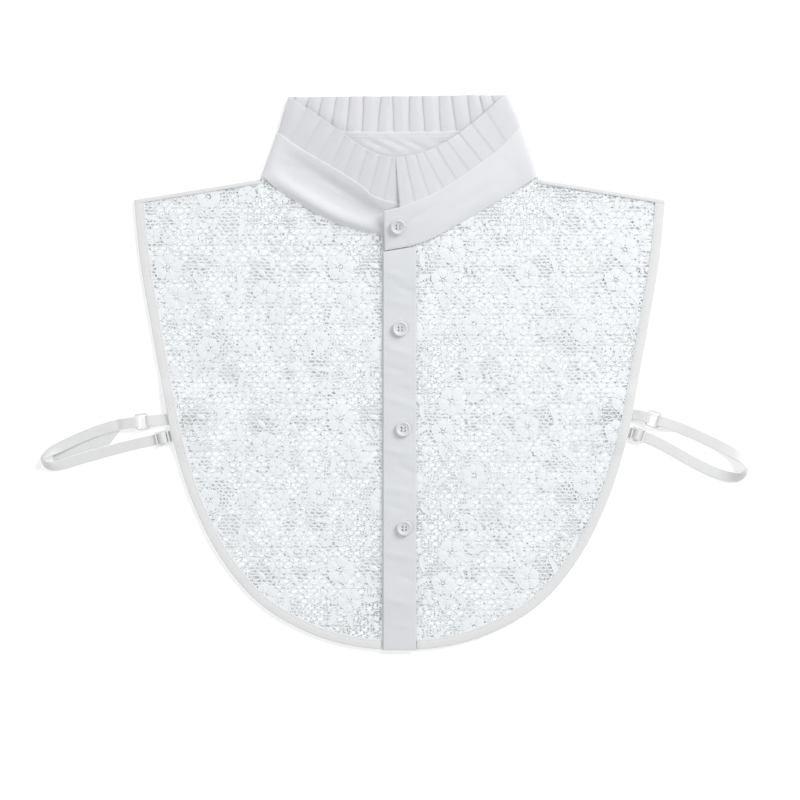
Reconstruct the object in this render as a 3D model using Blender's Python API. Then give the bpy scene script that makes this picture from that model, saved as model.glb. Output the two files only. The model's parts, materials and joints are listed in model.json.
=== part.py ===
# A detachable lace collar laid flat: two lace fronts over a lace back, a plain button placket,
# a stand band with a knife-pleated frill on its top edge, and an elastic loop at each side.
# Every table is in millimetres. x runs from the garment's centre line, y towards the neck,
# z up from the floor. Left and right are the viewer's.

import math

import bmesh
import bpy
import numpy as np
from mathutils import Matrix, Vector
from mathutils.geometry import delaunay_2d_cdt

MM = 0.001
AXIS_X = 3.38  # the centre line lies beside the middle of the box, since the left loop is longer
GAP = 0.3  # between pieces that are sewn or lie together

CLOTH = 1.0
BAND_CLOTH = 1.2
BACK_Z = CLOTH / 2
FRONT_Z = CLOTH + GAP + CLOTH / 2

BINDING_WIDTH = 7.0
PLACKET_HALF = 11.5
UNDER_LEFT = -12.5
UNDER_RIGHT = 6.2
HEM_Y = -194.4

# Half the garment's outline from the shoulder tip down to the middle of the hem.
OUTLINE = [
    # half width, y
    (185.9, 120.8),
    (181.7, 78.8),
    (174.7, 36.8),
    (167.0, -5.3),
    (158.5, -48.0),
    (145.6, -89.3),
    (124.3, -131.3),
    (96.5, -163.0),
    (60.2, -183.6),
    (30.0, -191.8),
    (0.0, HEM_Y),
]
SHOULDER_NECK = (97.4, 135.2)

# The collar's ring, from its left end round the back to its right end. Each row gives the lower
# seam, the seam between band and frill, and the frill's free edge, then the roll along the
# bottom of the band and the hollow above it.
COLLAR = [
    # lower x, y, z, seam x, y, z, free x, y, z, roll, hollow
    (7.3, 93.5, 1.9, 3.1, 117.3, 9.0, 6.0, 150.2, 11.0, 0.0, 0.0),
    (-13.7, 96.3, 1.9, -16.5, 122.4, 9.2, -8.5, 150.6, 10.8, 0.6, -0.4),
    (-43.1, 104.0, 1.9, -29.8, 133.0, 8.6, -23.5, 156.0, 10.0, 1.8, -1.0),
    (-67.6, 116.6, 1.9, -53.6, 147.6, 7.0, -41.7, 168.4, 8.4, 1.8, -1.0),
    (-84.4, 127.2, 2.0, -72.2, 158.6, 5.4, -60.0, 181.2, 6.2, 1.2, -0.4),
    (-94.6, 135.6, 2.9, -83.2, 166.6, 4.3, -75.8, 192.0, 4.7, 0.0, 0.0),
    (-96.7, 136.4, 1.75, -85.3, 167.7, 3.0, -78.1, 192.6, 3.3, 0.0, 0.0),
    (-94.6, 136.4, 0.6, -83.2, 168.2, 1.75, -75.8, 192.8, 1.9, 0.0, 0.0),
    (-60.0, 136.2, 0.6, -55.0, 168.9, 1.75, -50.0, 193.0, 1.9, 0.0, 0.0),
    (0.0, 135.4, 0.6, 0.0, 168.6, 1.75, 0.0, 193.4, 1.9, 0.0, 0.0),
    (60.0, 136.2, 0.6, 55.0, 169.6, 1.75, 50.0, 194.0, 1.9, 0.0, 0.0),
    (94.8, 136.4, 0.6, 83.0, 171.4, 1.75, 73.0, 194.2, 1.9, 0.0, 0.0),
    (96.9, 136.4, 1.75, 85.1, 171.6, 3.0, 75.2, 194.2, 3.3, 0.0, 0.0),
    (94.8, 135.8, 2.9, 83.0, 170.6, 4.3, 73.0, 193.8, 4.7, 0.0, 0.0),
    (83.0, 128.2, 2.0, 70.3, 157.4, 5.4, 54.5, 177.6, 6.2, 0.3, 0.3),
    (64.7, 117.3, 1.9, 52.1, 143.4, 7.0, 36.5, 163.8, 8.4, 0.5, 0.5),
    (43.7, 105.4, 2.0, 31.8, 129.6, 9.0, 18.6, 154.4, 10.0, 0.5, 0.5),
    (24.1, 94.4, 2.9, 15.7, 121.3, 10.4, 7.4, 151.4, 10.8, 0.3, 0.3),
    (8.7, 88.8, 3.5, 3.1, 116.2, 10.9, -1.5, 150.3, 11.0, 0.0, 0.0),
    (-10.6, 85.2, 3.6, -11.3, 112.4, 11.2, -5.0, 150.0, 11.0, 0.0, 0.0),
]
CENTRE_FRONT = -1.0  # where the frill's two ends meet
ROLL_AT, HOLLOW_AT = 0.2, 0.5  # of the band's height

PLEATS = 34
PLEAT = [
    # share of the pitch, height
    (0.0, -1.0),
    (0.4, 0.0),
    (0.72, 0.85),
    (0.8, 1.0),
]
PLEAT_DEPTH = {"root": 0.6, "middle": 0.95, "free": 1.15}
LOWEST_PLEAT = 0.75
FRILL_STEP = 0.8  # from the seam to the middle of the frill's pleated root

# Long soft folds in the fronts: the ends of each crest, its height and its half width.
FOLDS = [
    # x1, y1, x2, y2, height, half width
    (-150.0, 95.0, -88.0, -40.0, 1.3, 17.0),
    (-70.0, 60.0, -62.0, -95.0, 1.0, 15.0),
    (-118.0, -30.0, -80.0, -140.0, 0.9, 14.0),
    (152.0, 92.0, 96.0, -20.0, 1.2, 17.0),
    (66.0, 72.0, 72.0, -80.0, 1.1, 15.0),
    (112.0, -20.0, 58.0, -150.0, 1.0, 14.0),
]
TAB_RISE = {"x": 149.0, "y": -31.5, "half_x": 22.0, "half_y": 15.0, "soft": 14.0, "height": 1.5}

STRAP_WIDTH = 7.5
STRAP_CLOTH = 1.0
RING = {"wire": 1.5, "half_along": 4.35, "half_across": 5.3, "corner": 1.6}
SLIDER = {"bar": 1.1, "window": 3.1, "middle": 1.2, "half_across": 5.1, "rail": 1.05, "low": 1.4, "high": 2.6}
SLIDER_TAIL = 6.2  # from the slider's middle to the strap's sewn end
LAP = 8.0  # how far a strap's end is folded back round its ring
RING_GAP = 0.45  # the strap is loose round its ring
BAR_Z = STRAP_CLOTH + RING_GAP + RING["wire"] / 2

RINGS = {
    # x, y, turn in degrees of its along direction, away from the garment
    "left": (-180.3, -34.3, 187.0),
    "right": (177.4, -32.6, -16.0),
}
STRAPS = {
    "left": [
        # x, y, rise in degrees of the outer edge, lift where it lies on its second ply
        (-184.62, -34.83, 0.0, 0.0),
        (-197.0, -36.5, 0.0, 1.35),
        (-209.0, -39.9, 0.0, 1.35),
        (-223.0, -45.3, 0.0, 1.35),
        (-236.3, -51.5, 8.0, 1.1),
        (-245.6, -56.2, 45.0, 0.35),
        (-249.6, -60.4, 68.0, 0.45),
        (-246.6, -64.6, 48.0, 0.35),
        (-236.0, -64.2, 8.0, 0.3),
        (-222.0, -60.0, 0.0, 0.1),
        (-205.0, -55.2, 0.0, 0.0),
        (-186.0, -50.3, 0.0, 0.0),
        (-166.2, -45.9, 0.0, 0.0),
        (-160.05, -44.5, 0.0, 0.0),
    ],
    "right": [
        # x, y, rise, lift
        (181.58, -33.8, 0.0, 0.0),
        (192.2, -37.2, 0.0, 0.0),
        (206.8, -43.2, 0.0, 0.0),
        (221.7, -50.2, 0.0, 0.15),
        (232.9, -56.2, 12.0, 0.35),
        (240.2, -61.6, 48.0, 0.35),
        (242.5, -67.2, 68.0, 0.45),
        (239.8, -71.8, 52.0, 0.35),
        (231.5, -73.0, 18.0, 0.4),
        (221.5, -70.2, 0.0, 0.15),
        (210.5, -65.2, 0.0, 0.0),
        (199.3, -59.2, 0.0, 0.0),
        (188.1, -52.9, 0.0, 0.0),
        (176.9, -47.2, 0.0, 0.0),
        (166.5, -43.5, 0.0, 0.0),
        (160.5, -41.7, 0.0, 0.0),
    ],
}
TABS = {
    "left": [
        # x, y, from behind the front to the ring's near bar
        (-140.0, -32.6),
        (-158.0, -32.9),
        (-168.0, -33.1),
        (-175.98, -33.77),
    ],
    "right": [
        (140.0, -28.4),
        (156.0, -28.8),
        (166.0, -29.6),
        (173.22, -31.4),
    ],
}
PLY = [
    # x, y of the second ply of the left strap, slipped out from under the first
    (-195.0, -44.1),
    (-200.5, -45.4),
    (-209.0, -48.0),
    (-222.0, -51.7),
    (-236.0, -56.1),
    (-243.0, -58.4),
]

BUTTON = {"radius": 5.3, "rim": 1.1, "thick": 2.2, "dish": 0.7, "hole": 0.75, "hole_ring": 1.5}
BUTTONS = [
    # x, y; the first is on the band's end
    (-1.5, 101.8),
    (0.3, 30.5),
    (2.4, -39.6),
    (3.1, -108.9),
]

COLOURS = {
    # red, green, blue, roughness
    "lace": (0.86, 0.88, 0.9, 0.85),
    "binding": (0.78, 0.78, 0.79, 0.75),
    "woven": (0.71, 0.73, 0.76, 0.7),
    "frill": (0.8, 0.81, 0.84, 0.6),
    "elastic": (0.8, 0.81, 0.8, 0.5),
    "plastic": (0.74, 0.75, 0.75, 0.25),
}


def clear_scene():
    for obj in list(bpy.data.objects):
        bpy.data.objects.remove(obj, do_unlink=True)


def material(name, kind):
    made = bpy.data.materials.new(name)
    made.use_nodes = True
    shader = made.node_tree.nodes["Principled BSDF"]
    red, green, blue, roughness = COLOURS[kind]
    shader.inputs["Base Color"].default_value = (red, green, blue, 1)
    shader.inputs["Roughness"].default_value = roughness
    return made


def add_object(name, mesh, kind):
    obj = bpy.data.objects.new(name, mesh)
    bpy.context.scene.collection.objects.link(obj)
    obj.data.materials.append(material(name, kind))
    mesh.shade_smooth()
    mesh.set_sharp_from_angle(angle=math.radians(35))
    return obj


def to_metres(point):
    x, y, z = point
    return ((x + AXIS_X) * MM, y * MM, z * MM)


def cloth(name, points, faces, thickness, kind):
    """A sheet through these middle points, as thick on each side of them."""
    mesh = bpy.data.meshes.new(name)
    mesh.from_pydata([to_metres(p) for p in points], [], faces)
    shape = bmesh.new()
    shape.from_mesh(mesh)
    bmesh.ops.recalc_face_normals(shape, faces=shape.faces)
    shape.to_mesh(mesh)
    shape.free()
    obj = add_object(name, mesh, kind)
    wall = obj.modifiers.new("wall", "SOLIDIFY")
    wall.thickness = thickness * MM
    wall.offset = 0
    wall.use_even_offset = True
    return obj


def grid_cloth(name, grid, thickness, kind):
    """A sheet from rows of points, every row as long as the first."""
    across = len(grid[0])
    points = [p for row in grid for p in row]
    faces = [
        (i * across + j, i * across + j + 1, (i + 1) * across + j + 1, (i + 1) * across + j)
        for i in range(len(grid) - 1)
        for j in range(across - 1)
    ]
    return cloth(name, points, faces, thickness, kind)


def through(rows, station):
    """The point of a smooth curve through the rows at a station such as 2.5, half way from row 2 to 3."""
    rows = np.asarray(rows, float)
    i = min(max(int(math.floor(station)), 0), len(rows) - 2)
    share = station - i
    before = rows[i - 1] if i else 2 * rows[0] - rows[1]
    after = rows[i + 2] if i + 2 < len(rows) else 2 * rows[-1] - rows[-2]
    p0, p1, p2, p3 = before, rows[i], rows[i + 1], after
    knots = [0.0]
    for a, b in ((p0, p1), (p1, p2), (p2, p3)):
        knots.append(knots[-1] + max(np.linalg.norm((b - a)[:3]), 1e-6) ** 0.5)
    t0, t1, t2, t3 = knots
    t = t1 + (t2 - t1) * share
    a1 = p0 * (t1 - t) / (t1 - t0) + p1 * (t - t0) / (t1 - t0)
    a2 = p1 * (t2 - t) / (t2 - t1) + p2 * (t - t1) / (t2 - t1)
    a3 = p2 * (t3 - t) / (t3 - t2) + p3 * (t - t2) / (t3 - t2)
    b1 = a1 * (t2 - t) / (t2 - t0) + a2 * (t - t0) / (t2 - t0)
    b2 = a2 * (t3 - t) / (t3 - t1) + a3 * (t - t1) / (t3 - t1)
    return b1 * (t2 - t) / (t2 - t1) + b2 * (t - t1) / (t2 - t1)


class Curve:
    """A smooth curve through table rows, read by its length."""

    def __init__(self, rows, axes=2, fine=24):
        self.rows = rows
        self.stations = np.linspace(0, len(rows) - 1, (len(rows) - 1) * fine + 1)
        points = np.array([through(rows, s)[:axes] for s in self.stations])
        steps = np.linalg.norm(np.diff(points, axis=0), axis=1)
        self.lengths = np.concatenate([[0], np.cumsum(steps)])
        self.length = self.lengths[-1]

    def station(self, distance):
        return float(np.interp(distance, self.lengths, self.stations))

    def at(self, distance):
        return through(self.rows, self.station(distance))

    def heading(self, distance):
        """The plan direction, as an angle."""
        a = self.at(max(distance - 0.4, 0))
        b = self.at(min(distance + 0.4, self.length))
        return math.atan2(b[1] - a[1], b[0] - a[0])


def even(start, end, spacing):
    return np.linspace(start, end, max(2, int(round(abs(end - start) / spacing)) + 1))


def soft_step(value):
    value = min(max(value, 0.0), 1.0)
    return value * value * (3 - 2 * value)


def front_z(x, y):
    """The middle of the front cloth: flat, with its folds and the rise over the strap tabs."""
    z = FRONT_Z
    for x1, y1, x2, y2, height, half in FOLDS:
        dx, dy = x2 - x1, y2 - y1
        share = min(max(((x - x1) * dx + (y - y1) * dy) / (dx * dx + dy * dy), 0), 1)
        away = math.hypot(x - x1 - share * dx, y - y1 - share * dy)
        z += height * math.exp(-((away / half) ** 2)) * (1 - 0.5 * abs(2 * share - 1))
    rise = TAB_RISE
    beyond = math.hypot(
        max(abs(abs(x) - rise["x"]) - rise["half_x"], 0),
        max(abs(y - rise["y"]) - rise["half_y"], 0),
    )
    z += rise["height"] * (1 - soft_step(beyond / rise["soft"]))
    return z


def outline(side, inset=0.0, spacing=9.0, stop=0.0):
    """Points down one side, from the shoulder tip to the hem, moved in by inset."""
    curve = Curve(OUTLINE)
    points = []
    for distance in even(0, curve.length, spacing):
        half, y = curve.at(distance)
        turn = curve.heading(distance)
        half, y = half + inset * math.sin(turn), y - inset * math.cos(turn)
        points.append((side * half, y))
    tip = shoulder_y(points[0][0])
    points[0] = (points[0][0], tip)
    kept = [p for p in points if side * p[0] > stop + 2.0]
    low = np.interp(stop, [abs(p[0]) for p in points[::-1]], [p[1] for p in points[::-1]])
    return kept + [(side * stop, float(low))]


def shoulder_y(x):
    (half, y), (neck, neck_y) = OUTLINE[0], SHOULDER_NECK
    return y + (neck_y - y) * (half - abs(x)) / (half - neck)


def lower_seam(start, end, spacing=8.0, below=GAP + 0.25):
    """Points just below the band's lower seam, between two rows of the collar's table."""
    rows = [row[:3] for row in COLLAR]
    line = Curve(rows)
    first = np.interp(start, line.stations, line.lengths)
    last = np.interp(end, line.stations, line.lengths)
    points = []
    for distance in even(first, last, spacing):
        x, y, _ = line.at(distance)
        turn = line.heading(distance)
        down = 1 if math.cos(turn) < 0 else -1
        points.append((x - down * below * math.sin(turn), y + down * below * math.cos(turn)))
    return points


def flat_panel(name, edge, height, spacing, kind):
    """Cloth inside a closed edge, on the points of a net, at the height given for each."""
    ring = [Vector(p) for p in edge]
    xs, ys = [p[0] for p in edge], [p[1] for p in edge]
    inner = []
    for i, y in enumerate(np.arange(min(ys) + spacing / 2, max(ys), spacing)):
        for x in np.arange(min(xs) + (i % 2) * spacing / 2, max(xs), spacing):
            clear = min(distance_to(x, y, ring[k - 1], ring[k]) for k in range(len(ring)))
            if clear > spacing * 0.5 and inside(x, y, edge):
                inner.append(Vector((x, y)))
    points, _, faces, *_ = delaunay_2d_cdt(
        ring + inner, [], [list(range(len(ring)))], 1, 1e-5
    )
    middle = [(p.x, p.y, height(p.x, p.y)) for p in points]
    return cloth(name, middle, [list(f) for f in faces], CLOTH, kind)


def distance_to(x, y, a, b):
    ax, ay, bx, by = a[0], a[1], b[0], b[1]
    dx, dy = bx - ax, by - ay
    share = min(max(((x - ax) * dx + (y - ay) * dy) / (dx * dx + dy * dy + 1e-12), 0), 1)
    return math.hypot(x - ax - share * dx, y - ay - share * dy)


def inside(x, y, edge):
    found = False
    for (ax, ay), (bx, by) in zip(edge, edge[1:] + edge[:1]):
        if (ay > y) != (by > y) and x < ax + (y - ay) * (bx - ax) / (by - ay):
            found = not found
    return found


def build_back():
    inset = BINDING_WIDTH + GAP
    left = outline(-1, inset)
    right = outline(1, inset)
    neck = lower_seam(7.0, 11.0, spacing=16.0)
    edge = left + right[-2::-1] + neck[::-1]
    flat_panel("back_panel", edge, lambda x, y: BACK_Z, 1000.0, "lace")
    outer = outline(-1) + outline(1)[-2::-1]
    inner = outline(-1, BINDING_WIDTH) + outline(1, BINDING_WIDTH)[-2::-1]
    grid_cloth("back_binding", strip(outer, inner, 1, lambda x, y: BACK_Z), CLOTH, "binding")


def strip(outer, inner, parts, height):
    """Rows of points from one line of points across to another."""
    count = min(len(outer), len(inner))
    rows = []
    for i in range(count):
        a = np.array(outer[round(i * (len(outer) - 1) / (count - 1))])
        b = np.array(inner[round(i * (len(inner) - 1) / (count - 1))])
        row = [a + (b - a) * j / parts for j in range(parts + 1)]
        rows.append([(p[0], p[1], height(p[0], p[1])) for p in row])
    return rows


def build_front(side, name):
    reach = -UNDER_LEFT + GAP if side < 0 else UNDER_RIGHT + 0.6
    hem_stop = -UNDER_LEFT + GAP if side < 0 else PLACKET_HALF + GAP
    edge = outline(side, BINDING_WIDTH + GAP, stop=reach)
    neck = lower_seam(0.0, 5.0) if side < 0 else lower_seam(18.9, 13.0)
    neck = [p for p in neck if side * p[0] > reach]
    first = (side * reach, neck[0][1] - (abs(neck[0][0]) - reach) * 0.2)
    flat_panel(f"front_panel_{name}", edge + [first] + neck, front_z, 15.0, "lace")
    outer = outline(side, stop=hem_stop)
    inner = outline(side, BINDING_WIDTH, stop=hem_stop)
    grid_cloth(f"front_binding_{name}", strip(outer, inner, 2, front_z), CLOTH, "binding")


def placket_wrinkle(x, y):
    """Soft cross wrinkles between the buttons, deepest at the middle of each run."""
    return 0.35 * (1 + math.sin(y / 9.5 + 0.03 * x)) * abs(math.sin((y - 30.5) * math.pi / 70))


def build_placket():
    def rows(left, right, top_left, top_right, height, parts):
        grid = []
        for share in np.linspace(0, 1, 40):
            row = []
            for part in range(parts + 1):
                across = part / parts
                x = left + (right - left) * across
                top = top_left + (top_right - top_left) * across
                y = top + (HEM_Y + 0.2 - top) * share
                row.append((x, y, height(x, y)))
            grid.append(row)
        return grid

    def over(x, y):
        return front_z(x, y) + CLOTH + GAP + placket_wrinkle(x, y)

    below = GAP + 0.15
    under_top = 95.9 - below
    grid_cloth(
        "placket_under",
        rows(UNDER_LEFT, UNDER_RIGHT, under_top, 93.4 - below, front_z, 2),
        CLOTH,
        "woven",
    )
    grid_cloth(
        "placket_top",
        rows(-PLACKET_HALF, PLACKET_HALF, 84.8 - below, 88.6 - below, over, 4),
        CLOTH,
        "woven",
    )


def collar_point(station, height):
    """A point of the band at a share of its height, with its roll and hollow, outwards."""
    row = through(COLLAR, station)
    low, seam = row[0:3], row[3:6]
    point = low + (seam - low) * height
    out = collar_out(station)
    roll = row[9] * math.exp(-(((height - ROLL_AT) / 0.16) ** 2))
    hollow = row[10] * math.exp(-(((height - HOLLOW_AT) / 0.2) ** 2))
    ends = min(1.0, height / 0.1)
    point = point + out * (roll * ends + hollow)
    point[2] = max(point[2], BAND_CLOTH / 2)
    return point


def collar_out(station):
    """The collar's outward direction."""
    ahead = through(COLLAR, min(station + 0.05, len(COLLAR) - 1))
    behind = through(COLLAR, max(station - 0.05, 0))
    row = through(COLLAR, station)
    along = ahead[3:6] - behind[3:6]
    out = -np.cross(along, row[3:6] - row[0:3])
    return out / np.linalg.norm(out)


def collar_stations():
    """Stations about 8 mm apart on the open runs, closer round the two side folds."""
    line = Curve([row[3:6] for row in COLLAR], axes=3)
    stations = []
    for start, end, spacing in (
        (0, 5, 8.5),
        (5, 7, 0.75),
        (7, 11, 17.0),
        (11, 13, 0.75),
        (13, len(COLLAR) - 1, 8.5),
    ):
        first = np.interp(start, line.stations, line.lengths)
        last = np.interp(end, line.stations, line.lengths)
        stations += [line.station(d) for d in even(first, last, spacing)[:-1]]
    return stations + [len(COLLAR) - 1.0]


def build_band():
    heights = (0.0, 0.12, 0.24, 0.48, 0.74, 1.0)
    grid = [[collar_point(s, h) for h in heights] for s in collar_stations()]
    grid_cloth("collar_band", grid, BAND_CLOTH, "woven")


def build_frill():
    """Knife pleats along the band's top edge, pressed small at the root and open at the edge."""
    line = Curve([row[3:6] for row in COLLAR], axes=3)
    start = crossing(line, CENTRE_FRONT, 0, 4)
    end = crossing(line, CENTRE_FRONT + 0.8, 15, len(COLLAR) - 1)
    folds = [float(np.interp(f, line.stations, line.lengths)) for f in (6.0, 12.0)]
    pitch = (end - start) / PLEATS
    grid = []
    for pleat in range(PLEATS):
        for share, height in PLEAT:
            grid.append(frill_row(line, start + (pleat + share) * pitch, height, folds))
    grid.append(frill_row(line, end, -1.0, folds))
    grid = with_fold_rows(line, grid, start, pitch, folds)
    grid_cloth("collar_frill", grid, CLOTH, "frill")


def crossing(line, x, first, last):
    """How far along the seam it passes x, between two rows of the table. x falls on both fronts."""
    stations = np.linspace(first, last, 80)
    places = [-through(COLLAR, s)[3] for s in stations]
    return float(np.interp(np.interp(-x, places, stations), line.stations, line.lengths))


def frill_row(line, distance, height, folds):
    station = line.station(distance)
    row = through(COLLAR, station)
    low, seam, free = row[0:3], row[3:6], row[6:9]
    up = (seam - low) / np.linalg.norm(seam - low)
    root = seam + up * FRILL_STEP
    out = collar_out(station)
    away = min(abs(distance - fold) for fold in folds)
    calm = 0.12 + 0.88 * soft_step((away - 4.0) / 14.0)
    points = []
    for share, depth in ((0.0, "root"), (0.5, "middle"), (1.0, "free")):
        middle = root + (free - root) * share
        point = middle + out * height * PLEAT_DEPTH[depth] * calm
        point[2] = max(point[2], LOWEST_PLEAT)
        points.append(point)
    return points


def with_fold_rows(line, grid, start, pitch, folds):
    """The same rows, with close ones in place of the pleats that fall on the side folds."""
    reach = 3.6
    distances = [start + (p + s) * pitch for p in range(PLEATS) for s, _ in PLEAT]
    distances.append(start + PLEATS * pitch)
    kept = [
        (d, row)
        for d, row in zip(distances, grid)
        if all(abs(d - fold) > reach + 0.8 for fold in folds)
    ]
    for fold in folds:
        for d in even(fold - reach, fold + reach, 0.75):
            kept.append((d, frill_row(line, d, 0.0, folds)))
    return [row for _, row in sorted(kept, key=lambda item: item[0])]


def frame_at(curve, distance):
    """The point and heading at a distance along a strap, carried on straight past its ends."""
    inner = min(max(distance, 0.0), curve.length)
    row = curve.at(inner)
    turn = curve.heading(inner)
    spare = distance - inner
    x, y = row[0] + spare * math.cos(turn), row[1] + spare * math.sin(turn)
    rise, lift = np.maximum(row[2:4], 0.0) if len(row) > 2 else (0.0, 0.0)
    return x, y, turn, rise, lift


def ribbon(name, curve, profile, outer):
    """A strap along a curve. The profile gives its height at each distance, and may turn back."""
    grid = []
    for distance, z in profile:
        x, y, turn, rise, lift = frame_at(curve, distance)
        rise = math.radians(rise)
        across = np.array([outer * math.sin(turn), -outer * math.cos(turn), 0.0])
        across = across * math.cos(rise) + np.array([0, 0, 1.0]) * math.sin(rise)
        centre = np.array([x, y, z + lift + STRAP_WIDTH / 2 * math.sin(rise)])
        half = across * STRAP_WIDTH / 2
        grid.append([centre - half, centre + half])
    grid_cloth(name, grid, STRAP_CLOTH, "elastic")


def lapped_end(bar):
    """Heights along a strap that comes to a ring's bar, goes over and round it, and back below."""
    low = STRAP_CLOTH / 2
    radius = BAR_Z - low
    rows = [(bar - LAP - 1.2, low + 1.45), (bar - 4.2, BAR_Z + 0.95), (bar - 1.0, BAR_Z + radius - 0.1)]
    for angle in (75, 45, 15, -15, -45, -75):
        turn = math.radians(angle)
        rows.append((bar + radius * math.cos(turn), BAR_Z + radius * math.sin(turn)))
    return rows + [(bar - 1.0, low), (bar - LAP, low)]


def build_strap(side, name):
    curve = Curve(STRAPS[name])
    low = STRAP_CLOTH / 2
    start = [(-d, z) for d, z in lapped_end(0.0)[::-1]]
    middle = curve.length - SLIDER_TAIL
    run = []
    for distance in even(LAP + 4.6, middle - 6.5, 3.6):
        run.append((distance, low))
    over = SLIDER["high"] + GAP + low
    slope = SLIDER["middle"] / 2 + SLIDER["window"] - 0.3
    tail = [(middle - slope, low), (middle - 0.95, over), (middle + 0.95, over)]
    tail += [(middle + slope, low), (curve.length, low)]
    ribbon(f"strap_{name}", curve, start + run + tail, side)
    x, y, turn = frame_at(curve, middle)[:3]
    build_slider(name, x, y, turn)


def build_tab(side, name):
    """The short strap from behind the front to the ring's near bar."""
    curve = Curve(TABS[name])
    profile = [(d, FRONT_Z) for d in even(0.0, curve.length - LAP - 3.0, 6.0)]
    profile += lapped_end(curve.length)
    ribbon(f"tab_{name}", curve, profile, side)


def build_ring(name):
    """A loop of round wire with square-set sides."""
    x, y, turn = RINGS[name]
    ring = RING
    points = []
    for quarter in range(4):
        side_x = 1 if quarter in (0, 3) else -1
        side_y = 1 if quarter in (0, 1) else -1
        centre_x = side_x * (ring["half_along"] - ring["corner"])
        centre_y = side_y * (ring["half_across"] - ring["corner"])
        for step in range(4):
            angle = math.pi / 2 * (quarter + step / 3)
            points.append(
                (
                    centre_x + ring["corner"] * math.cos(angle),
                    centre_y + ring["corner"] * math.sin(angle),
                )
            )
    wire = bpy.data.curves.new(f"ring_{name}", "CURVE")
    wire.dimensions = "3D"
    spline = wire.splines.new("POLY")
    spline.points.add(len(points) - 1)
    turned = Matrix.Rotation(math.radians(turn), 2)
    for point, spot in zip(spline.points, points):
        px, py = turned @ Vector(spot)
        point.co = (*to_metres((x + px, y + py, BAR_Z)), 1)
    spline.use_cyclic_u = True
    wire.bevel_depth = ring["wire"] / 2 * MM
    wire.bevel_resolution = 2
    obj = bpy.data.objects.new(f"ring_{name}", wire)
    bpy.context.scene.collection.objects.link(obj)
    wire.materials.append(material(obj.name, "plastic"))


def build_slider(name, x, y, turn):
    """A flat frame with two windows, its middle bar under the strap and its end bars over it."""
    size = SLIDER
    half = size["middle"] / 2
    along = [-half - size["window"] - size["bar"], -half - size["window"], -half]
    along += [-a for a in along[::-1]]
    across = [-size["half_across"], -size["half_across"] + size["rail"]]
    across += [-a for a in across[::-1]]
    shape = bmesh.new()
    spots = {}
    for i, a in enumerate(along):
        for j, c in enumerate(across):
            px = x + a * math.cos(turn) - c * math.sin(turn)
            py = y + a * math.sin(turn) + c * math.cos(turn)
            spots[i, j] = shape.verts.new(to_metres((px, py, size["low"])))
    cells = [(i, j) for i in range(5) for j in range(3) if not (j == 1 and i in (1, 3))]
    for i, j in cells:
        shape.faces.new([spots[i, j], spots[i + 1, j], spots[i + 1, j + 1], spots[i, j + 1]])
    raised = bmesh.ops.extrude_face_region(shape, geom=shape.faces[:])
    moved = [v for v in raised["geom"] if isinstance(v, bmesh.types.BMVert)]
    bmesh.ops.translate(shape, verts=moved, vec=(0, 0, (size["high"] - size["low"]) * MM))
    bmesh.ops.recalc_face_normals(shape, faces=shape.faces)
    mesh = bpy.data.meshes.new(f"slider_{name}")
    shape.to_mesh(mesh)
    shape.free()
    obj = add_object(f"slider_{name}", mesh, "plastic")
    soft = obj.modifiers.new("edges", "BEVEL")
    soft.width = 0.2 * MM
    soft.segments = 1
    soft.limit_method = "ANGLE"


def build_ply():
    curve = Curve(PLY)
    profile = [(d, STRAP_CLOTH / 2) for d in even(0, curve.length, 5.0)]
    ribbon("strap_left_ply", curve, profile, -1)


def button_mesh():
    """A turned disc with a round rim and four thread holes."""
    size = BUTTON
    thick = size["thick"]
    profile = [
        (0.0, 0.25),
        (size["radius"] - 1.6, 0.0),
        (size["radius"] - 0.2, thick * 0.45),
        (size["radius"], thick * 0.7),
        (size["radius"] - size["rim"] / 2, thick),
        (size["radius"] - size["rim"] - 0.5, thick - size["dish"]),
        (0.0, thick - size["dish"] - 0.1),
    ]
    shape = bmesh.new()
    spots = [shape.verts.new((r * MM, 0, z * MM)) for r, z in profile]
    edges = [shape.edges.new(pair) for pair in zip(spots, spots[1:])]
    bmesh.ops.spin(
        shape, geom=spots + edges, cent=(0, 0, 0), axis=(0, 0, 1), angle=math.tau, steps=18,
        use_merge=True,
    )
    bmesh.ops.remove_doubles(shape, verts=shape.verts, dist=1e-6)
    bmesh.ops.recalc_face_normals(shape, faces=shape.faces)
    mesh = bpy.data.meshes.new("button")
    shape.to_mesh(mesh)
    shape.free()
    blank = bpy.data.objects.new("button_blank", mesh)
    bpy.context.scene.collection.objects.link(blank)
    cutters = []
    for quarter in range(4):
        angle = math.pi / 4 + quarter * math.pi / 2
        hole = bmesh.new()
        bmesh.ops.create_cone(
            hole, cap_ends=True, segments=6, radius1=size["hole"] * MM, radius2=size["hole"] * MM,
            depth=3 * thick * MM,
        )
        place = (size["hole_ring"] * math.cos(angle) * MM, size["hole_ring"] * math.sin(angle) * MM, 0)
        bmesh.ops.translate(hole, verts=hole.verts, vec=place)
        cutter_mesh = bpy.data.meshes.new("hole")
        hole.to_mesh(cutter_mesh)
        hole.free()
        cutter = bpy.data.objects.new(f"hole_{quarter}", cutter_mesh)
        bpy.context.scene.collection.objects.link(cutter)
        cutter.hide_render = True
        cutters.append(cutter)
        cut = blank.modifiers.new(f"hole_{quarter}", "BOOLEAN")
        cut.operation = "DIFFERENCE"
        cut.object = cutter
    bpy.context.view_layer.update()
    graph = bpy.context.evaluated_depsgraph_get()
    done = bpy.data.meshes.new_from_object(blank.evaluated_get(graph))
    for helper in [blank] + cutters:
        bpy.data.objects.remove(helper, do_unlink=True)
    done.name = "button"
    return done


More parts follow.
